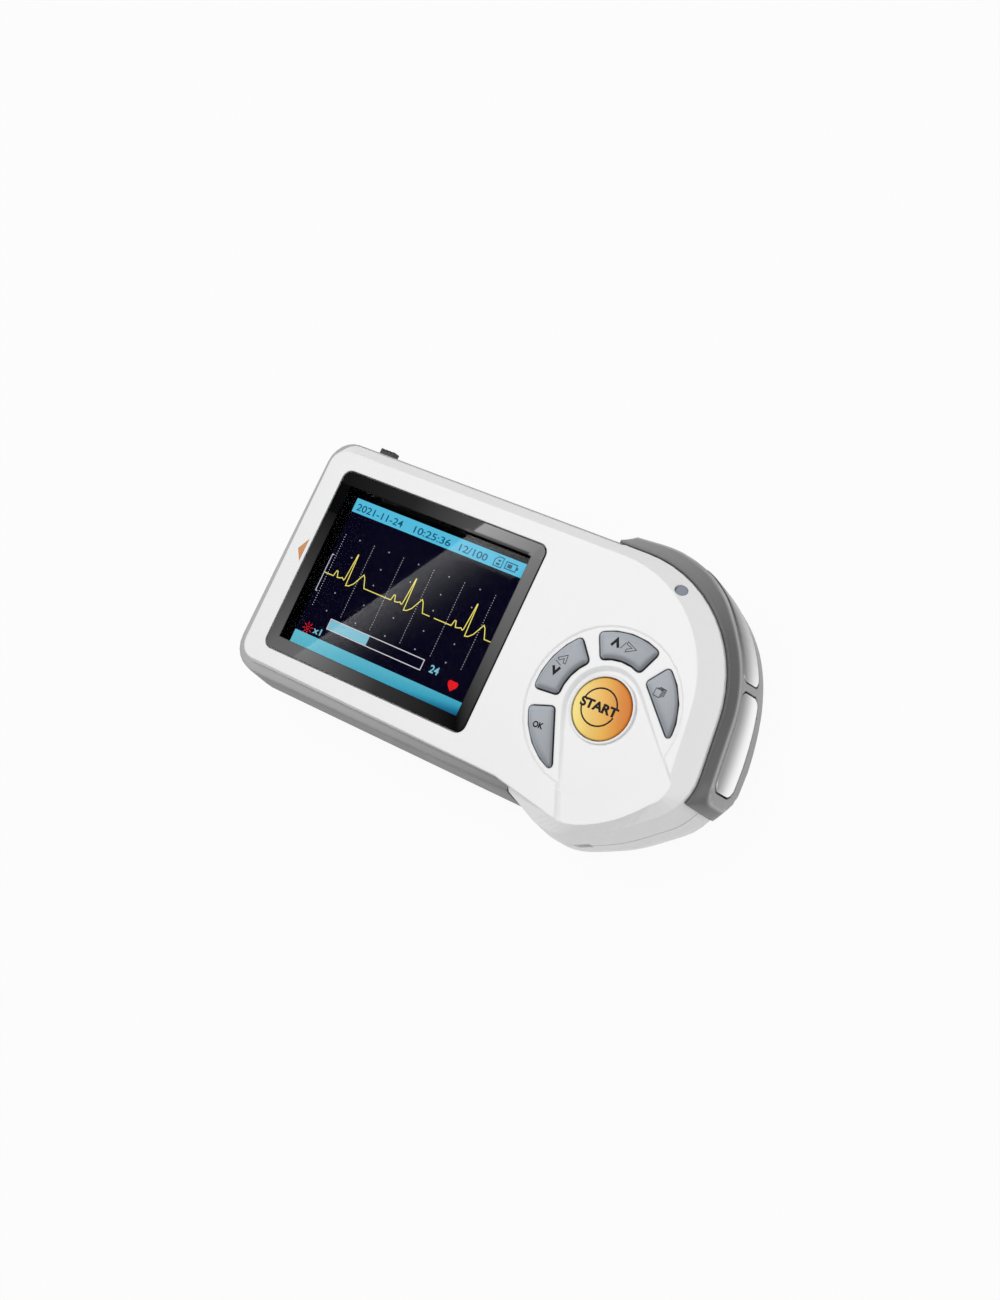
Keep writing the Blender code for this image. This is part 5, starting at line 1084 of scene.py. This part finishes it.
def display_picture():
    left, right, low, high = SCREEN

    def show(name, shapes, material, layer):
        closed_print(name, shapes, PANEL_TOP + PICTURE_LIFT + layer, material, "case", "display_glass")

    show("picture_field", [rectangle(left, right, low, high)], LIT_NAVY, FIELD_LAYER)
    show("picture_header", [rectangle(left, right, HEADER_FOOT, high)], LIT_CYAN, BAR_LAYER)
    show("picture_footer", [rectangle(left, right, low, FOOTER_TOP)], LIT_FOOTER, BAR_LAYER)
    ink = [shape for words, x0, x1 in HEADER_WORDS for shape in lettering(words, x0, x1, *HEADER_WORD_HEIGHTS, 0.01)]
    ink += outline_of(CARD_SIGN, 0.22) + [rectangle(*bar) for bar in CARD_BARS]
    ink += outline_of(rectangle(*BATTERY_SIGN), 0.25) + [rectangle(*bar) for bar in BATTERY_BARS]
    show("picture_header_marks", ink, LIT_INK, TOP_LAYER)

    fine = [dot(x, y, *TIME_DOT) for x in TIME_LINES for y in spread(TIME_LINE_TOP, TIME_LINE_RUN, TIME_LINE_GAPS)]
    show("picture_time_lines", fine, LIT_WHITE, BAR_LAYER)
    sparse = [dot(x, y, *GRID_DOT) for x in GRID_XS for y in GRID_YS if y != GRID_MIDDLE or x in GRID_MIDDLE_XS]
    show("picture_grid_dots", sparse, LIT_PALE, BAR_LAYER)
    show("picture_scale_mark", ribbon(SCALE_SIGN, 0.22), LIT_PALE, SCALE_LAYER)

    first, second, third = [[(beat + x, y) for x, y in BEAT] for beat in BEATS]
    start, stop, again = [(x, 0.0) for x in TRACE_ENDS]
    lines = []
    for run in ([start] + first + second + [stop], [again] + third + [(right, 0.0)]):
        lines += ribbon([(x, BASE_LINE + y) for x, y in run], TRACE_WIDTH)
    show("picture_trace", lines, LIT_YELLOW, TOP_LAYER)

    show("picture_progress_frame", outline_of(rectangle(*PROGRESS_FRAME), 0.19), LIT_WHITE, TOP_LAYER)
    show("picture_progress_fill", [rectangle(*PROGRESS_FILL)], LIT_SKY, SIGN_LAYER)
    show("picture_numbers", [shape for place in NUMBERS for shape in lettering(*place, 0.02)], LIT_SKY, SIGN_LAYER)
    heart_x, heart_y = HEART_PLACE
    show("picture_heart", [[(heart_x + x, heart_y + y) for x, y in HEART]], LIT_RED, SIGN_LAYER)
    alarm = ribbon(arc(*ALARM_PLACE, ALARM_RING, 20, 340, 16), 0.16)
    for k in range(8):
        turn = 2 * math.pi * (k + 0.3) / 8
        alarm += ribbon([around(*ALARM_PLACE, reach, turn) for reach in ALARM_RAYS], 0.19)
    show("picture_alarm", alarm, LIT_RED, SIGN_LAYER)


# Marks on the keys, the lens and the face

BOLD, FINE, PAGE_LINE = 0.62, 0.14, 0.13
START_RING = (56.75, -5.3, 4.15)
START_RING_WIDTH = 0.36
START_WORD = ("START", 52.1, 61.4, -6.35, -4.15, 0.045, 0.8)
OK_WORD = ("OK", 44.05, 46.65, -14.65, -13.25, 0.04, 4.0)
START_INK_THICKNESS = 0.06
DOWN_ARROW = [(42.65, -0.85), (43.5, -2.35), (44.35, -0.75)]
DOWN_STROKE = [(42.6, 0.4), (44.2, -0.3)]
BACK_SIGN = [(42.9, 1.1), (44.85, 2.35), (45.1, 0.35), (44.5, 0.35), (44.35, 1.35), (43.3, 0.65)]
UP_ARROW = [(53.1, 7.85), (53.97, 9.5), (54.85, 7.85)]
UP_STROKE = [(55.4, 7.95), (56.2, 9.6)]
FORWARD_SIGN = [(56.5, 9.9), (59.1, 8.85), (56.8, 7.6), (56.8, 8.25), (57.95, 8.87), (56.5, 9.3)]
PAGE_SIGN = [(66.8, 1.55), (68.35, 1.4), (68.5, 3.0), (66.95, 3.15)]
PAGE_STEP = (0.28, 0.154)
INSERT_ARROW = [(-32.0, 1.2), (-30.2, -1.5), (-30.2, 4.2)]
LENS_HALF = (28.98, 22.53)
LENS_CORNER = 1.95
OPENING_HALF = (26.0, 19.4)
BORDER_LEVEL, BORDER_THICKNESS = 0.012, 0.03


def lens_border():
    """The black border on the lens, from its edge to the picture's opening."""
    (half_x, half_y), (open_x, open_y) = LENS_HALF, OPENING_HALF
    outer = round_corners([(x, y, LENS_CORNER) for x, y in rectangle(-half_x, half_x, -half_y, half_y)], 10)
    shapes = []
    for a, b in sides(outer):
        inner = [(bounded(p.x, -open_x, open_x), bounded(p.y, -open_y, open_y)) for p in (b, a)]
        shapes.append([tuple(a), tuple(b)] + (inner if inner[0] != inner[1] else inner[:1]))
    return shapes


def printed_marks():
    pages = outline_of(PAGE_SIGN, FINE)
    for k in (1, 2, 3):
        pages += ribbon([(x + PAGE_STEP[0] * k, y + PAGE_STEP[1] * k) for x, y in PAGE_SIGN[:0:-1]], PAGE_LINE)
    ring = [shape for first in (14.5, 194.5)
            for shape in ribbon(arc(*START_RING, first, first + 151, 40), START_RING_WIDTH)]
    marks = [
        ("start_button_ring", "start_button", ring, START_INK_THICKNESS),
        ("start_button_word", "start_button", lettering(*START_WORD), START_INK_THICKNESS),
        ("down_key_arrow", "down_key", ribbon(DOWN_ARROW, BOLD), INK_THICKNESS),
        ("down_key_back_mark", "down_key", ribbon(DOWN_STROKE, FINE) + outline_of(BACK_SIGN, FINE), INK_THICKNESS),
        ("up_key_arrow", "up_key", ribbon(UP_ARROW, BOLD), INK_THICKNESS),
        ("up_key_forward_mark", "up_key", ribbon(UP_STROKE, FINE) + outline_of(FORWARD_SIGN, FINE), INK_THICKNESS),
        ("page_key_mark", "page_key", pages, INK_THICKNESS),
        ("ok_key_word", "ok_key", lettering(*OK_WORD), INK_THICKNESS),
    ]
    for name, key, shapes, thickness in marks:
        closed_print(name, shapes, Surface(bpy.data.objects[key + "_cap"]), PRINT_BLACK, key, "black_print", INK_LIFT,
                     thickness)
    closed_print("lens_border", lens_border(), BORDER_LEVEL, FINISHES["black_print"], "case", "black_print",
                 thickness=BORDER_THICKNESS)
    closed_print("insert_arrow", [INSERT_ARROW], Surface(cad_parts["front_cover"]), PRINT_ORANGE, "case",
                 "start_orange", INK_LIFT, INK_THICKNESS)


# Stage

FOCAL_LENGTH = 52.62
SENSOR_HEIGHT = 36.0
NEAREST_SEEN = 0.01
CAMERA_PLACE = (234.257, -29.491, 359.526)
CAMERA_RIGHT = (0.79995566, 0.42385912, -0.42475214)
CAMERA_UP = (-0.33951715, 0.90336342, 0.26203555)
SKY_LIGHT = 0.50
# Each lamp: place in millimetres, power and size
LAMPS = {"window_light": ((-520, 340, 1600), 14.6, 1.0), "side_light": ((480, -120, 160), 0.35, 0.30)}
LAMP_TARGET = (25, 0)
FLOOR_SIZE = 6.0
FLOOR_GLOW = 0.94
FLOOR_COLOUR = (0.6, 0.6, 0.6, 1)
FLOOR_GAP = 0.2
CARD_HEIGHT = 250.0
CARD_BACK = (-90, 100, -90, 90)
CARD_STEPS = 4
# The glare's straight edge on the lens, by its upper and lower point, and how it fades away from that edge
GLARE_HIGH, GLARE_LOW = (11.43, 22.33), (-19.81, -22.4)
FADE_REACHES = (0.0, 3.0, 6.0, 9.0, 12.0, 15.0, 19.0)
LOW_FADE = (1.85, 1.30, 0.80, 0.43, 0.18, 0.05, 0.0)
HIGH_FADE = (2.2, 2.0, 1.8, 1.5, 1.3, 1.1, 0.9)
FADE_CHANGE = (4.0, 12.8, 14.3)
PICTURE_SIDE, PICTURE_HEAD = 1.0, 0.22


def lamp(name, place, power, size):
    light = bpy.data.lights.new(name, "AREA")
    light.energy = power
    light.size = size
    item = place_object(name, light)
    item.location = at(*place)
    item.rotation_euler = (at(*LAMP_TARGET) - item.location).to_track_quat("-Z", "Y").to_euler()


def seen_rays(tree):
    """One for rays from the camera, a mirror or clear plastic."""
    path = tree.nodes.new("ShaderNodeLightPath")
    first = math_node(tree, "MAXIMUM", path.outputs["Is Camera Ray"], path.outputs["Is Glossy Ray"])
    return math_node(tree, "MAXIMUM", first, path.outputs["Is Transmission Ray"])


def white_sweep():
    """A white surrounding that is seen in full and lights at a lower level."""
    world = bpy.data.worlds.new("white_sweep")
    bpy.context.scene.world = world
    world.use_nodes = True
    tree = world.node_tree
    back = tree.nodes["Background"]
    join(tree, (1, 1, 1, 1), back.inputs["Color"])
    level = math_node(tree, "ADD", math_node(tree, "MULTIPLY", seen_rays(tree), 1 - SKY_LIGHT), SKY_LIGHT)
    join(tree, level, back.inputs["Strength"])


def pale_floor():
    """A floor that glows white to the camera and keeps the machine's shadow."""
    made, tree, shader, _ = skinned("pale_floor", MOULDED_SKIN, {"Colour": FLOOR_COLOUR, "Tone": 0.01, "Grain": 300.0,
                                                                 "Roughness": 0.9, "Patchiness": 0.05})
    share = math_node(tree, "MULTIPLY", seen_rays(tree), FLOOR_GLOW)
    glow = tree.nodes.new("ShaderNodeEmission")
    mix = new_node(tree, "ShaderNodeMixShader", {"Fac": share, 1: shader.outputs[0], 2: glow.outputs[0]})
    join(tree, mix.outputs[0], tree.nodes["Material Output"].inputs["Surface"])
    half = FLOOR_SIZE / 2
    mesh = bpy.data.meshes.new("floor")
    mesh.from_pydata([(x, y, 0) for x, y in rectangle(-half, half, -half, half)], [], [(0, 1, 2, 3)])
    mesh.materials.append(made)
    floor = place_object("floor", mesh)
    floor.location.z = cad_box[0].z - FLOOR_GAP * MM


def camera():
    lens = bpy.data.cameras.new("camera")
    lens.sensor_fit = "VERTICAL"
    lens.sensor_height = SENSOR_HEIGHT
    lens.lens = FOCAL_LENGTH
    lens.clip_start = NEAREST_SEEN
    item = place_object("camera", lens)
    right, up = Vector(CAMERA_RIGHT), Vector(CAMERA_UP)
    turn = Matrix((right, up, right.cross(up))).transposed().to_4x4()
    turn.translation = at(*CAMERA_PLACE)
    item.matrix_world = turn
    bpy.context.scene.camera = item


def edge_x(y):
    """Where the glare's straight edge crosses a height on the lens."""
    return GLARE_LOW[0] + (GLARE_HIGH[0] - GLARE_LOW[0]) * (y - GLARE_LOW[1]) / (GLARE_HIGH[1] - GLARE_LOW[1])


def glare_on_picture():
    """Patches of (x, y, glow) corners that the display mirrors."""
    (open_x, open_y), (low, middle, high) = OPENING_HALF, FADE_CHANGE
    rows = [(-open_y, LOW_FADE), (low, LOW_FADE), (middle, LOW_FADE), (high, HIGH_FADE),
            (open_y + PICTURE_HEAD, HIGH_FADE)]
    patches = []
    for (low_y, low_glows), (high_y, high_glows) in zip(rows, rows[1:]):
        for k in range(len(FADE_REACHES) - 1):
            corners = []
            for y, step, glows in ((low_y, k, low_glows), (low_y, k + 1, low_glows), (high_y, k + 1, high_glows),
                                   (high_y, k, high_glows)):
                corners.append((min(edge_x(y) + FADE_REACHES[step], open_x + PICTURE_SIDE), y, glows[step]))
            patches.append(corners)
    return patches


def glare_on_border():
    """Patches of (x, y, glow) corners that the lens's border mirrors."""
    x1, y1 = OPENING_HALF
    x0, y0, far = -x1, -y1, 34.0
    return [
        [(edge_x(y1), y1, 7.6), (x1 + 3, y1, 4.4), (far, far, 4.4), (edge_x(far), far, 7.6)],
        [(x1, 0, 2.4), (far, 0, 2.4), (far, far, 4.4), (x1, y1 - 0.01, 4.4)],
        [(x1, y0, 0.0), (far, -far, 0.0), (far, 0, 2.4), (x1, 0, 2.4)],
        [(edge_x(-far), -far, 3.4), (-5, -far, 1.8), (-5, y0, 1.8), (edge_x(y0), y0, 4.0)],
        [(-5, -far, 1.8), (4, -far, 0.7), (4, y0, 0.7), (-5, y0, 1.8)],
        [(4, -far, 0.7), (far, -far, 0.0), (x1, y0, 0.0), (4, y0, 0.7)],
        [(-far, -far, 2.6), (edge_x(-far), -far, 2.8), (edge_x(y0), y0, 2.8), (x0, y0, 2.6)],
        [(-far, -far, 2.6), (x0, y0, 2.6), (x0, 0, 0.7), (-far, 0, 0.75)],
        [(-far, 0, 0.75), (x0, 0, 0.7), (x0, 12, 0.12), (-far, 12, 0.12)],
        [(-far, y1, 0.03), (-8, y1, 0.33), (-8, far, 0.33), (-far, far, 0.03)],
        [(-8, y1, 0.33), (edge_x(y1), y1, 1.6), (edge_x(far), far, 1.6), (-8, far, 0.33)],
    ]


def mirrored(x, y, depth, height):
    """The place at a height that a level mirror shows to the camera at a plan place."""
    eye_x, eye_y, eye_z = CAMERA_PLACE
    reach = (height + eye_z + 2 * depth) / eye_z
    return at(eye_x + (x - eye_x) * reach, eye_y + (y - eye_y) * reach, height)


def reflection_card():
    """A dark card with lit parts, which the lens mirrors to the camera as one slanting glare."""
    picture_depth = -(PANEL_TOP + PICTURE_LIFT + BAR_LAYER)
    points = [mirrored(x, y, 0.0, CARD_HEIGHT + 2) for x, y in rectangle(*CARD_BACK)]
    glows = [0.0] * len(points)
    faces = [(0, 1, 2, 3)]
    layers = [(patch, 0.0, CARD_HEIGHT) for patch in glare_on_border()]
    layers += [(patch, picture_depth, CARD_HEIGHT - 1) for patch in glare_on_picture()]
    row = CARD_STEPS + 1
    shares = spread(0.0, 1.0, CARD_STEPS)
    for (a, b, c, d), depth, height in layers:
        base = len(points)
        for u in shares:
            for v in shares:
                x, y, glow = [(a[k] * (1 - u) + b[k] * u) * (1 - v) + (d[k] * (1 - u) + c[k] * u) * v for k in range(3)]
                points.append(mirrored(x, y, depth, height))
                glows.append(glow)
        for i in range(CARD_STEPS):
            for p in range(base + i * row, base + i * row + CARD_STEPS):
                faces.append((p, p + 1, p + row + 1, p + row))
    mesh = bpy.data.meshes.new("reflection_card")
    mesh.from_pydata(points, [], faces)
    write_points(mesh, "glow", glows)
    made, tree, _ = new_material("reflection_card")
    read = tree.nodes.new("ShaderNodeAttribute")
    read.attribute_name = "glow"
    glow = new_node(tree, "ShaderNodeEmission", {"Strength": read.outputs["Fac"]})
    join(tree, glow.outputs[0], tree.nodes["Material Output"].inputs["Surface"])
    mesh.materials.append(made)
    card = place_object("reflection_card", mesh)
    card.visible_camera = card.visible_diffuse = card.visible_shadow = False


bpy.context.scene.view_settings.view_transform = "Standard"
display_picture()
printed_marks()
white_sweep()
pale_floor()
for lamp_name, lamp_values in LAMPS.items():
    lamp(lamp_name, *lamp_values)
camera()
reflection_card()
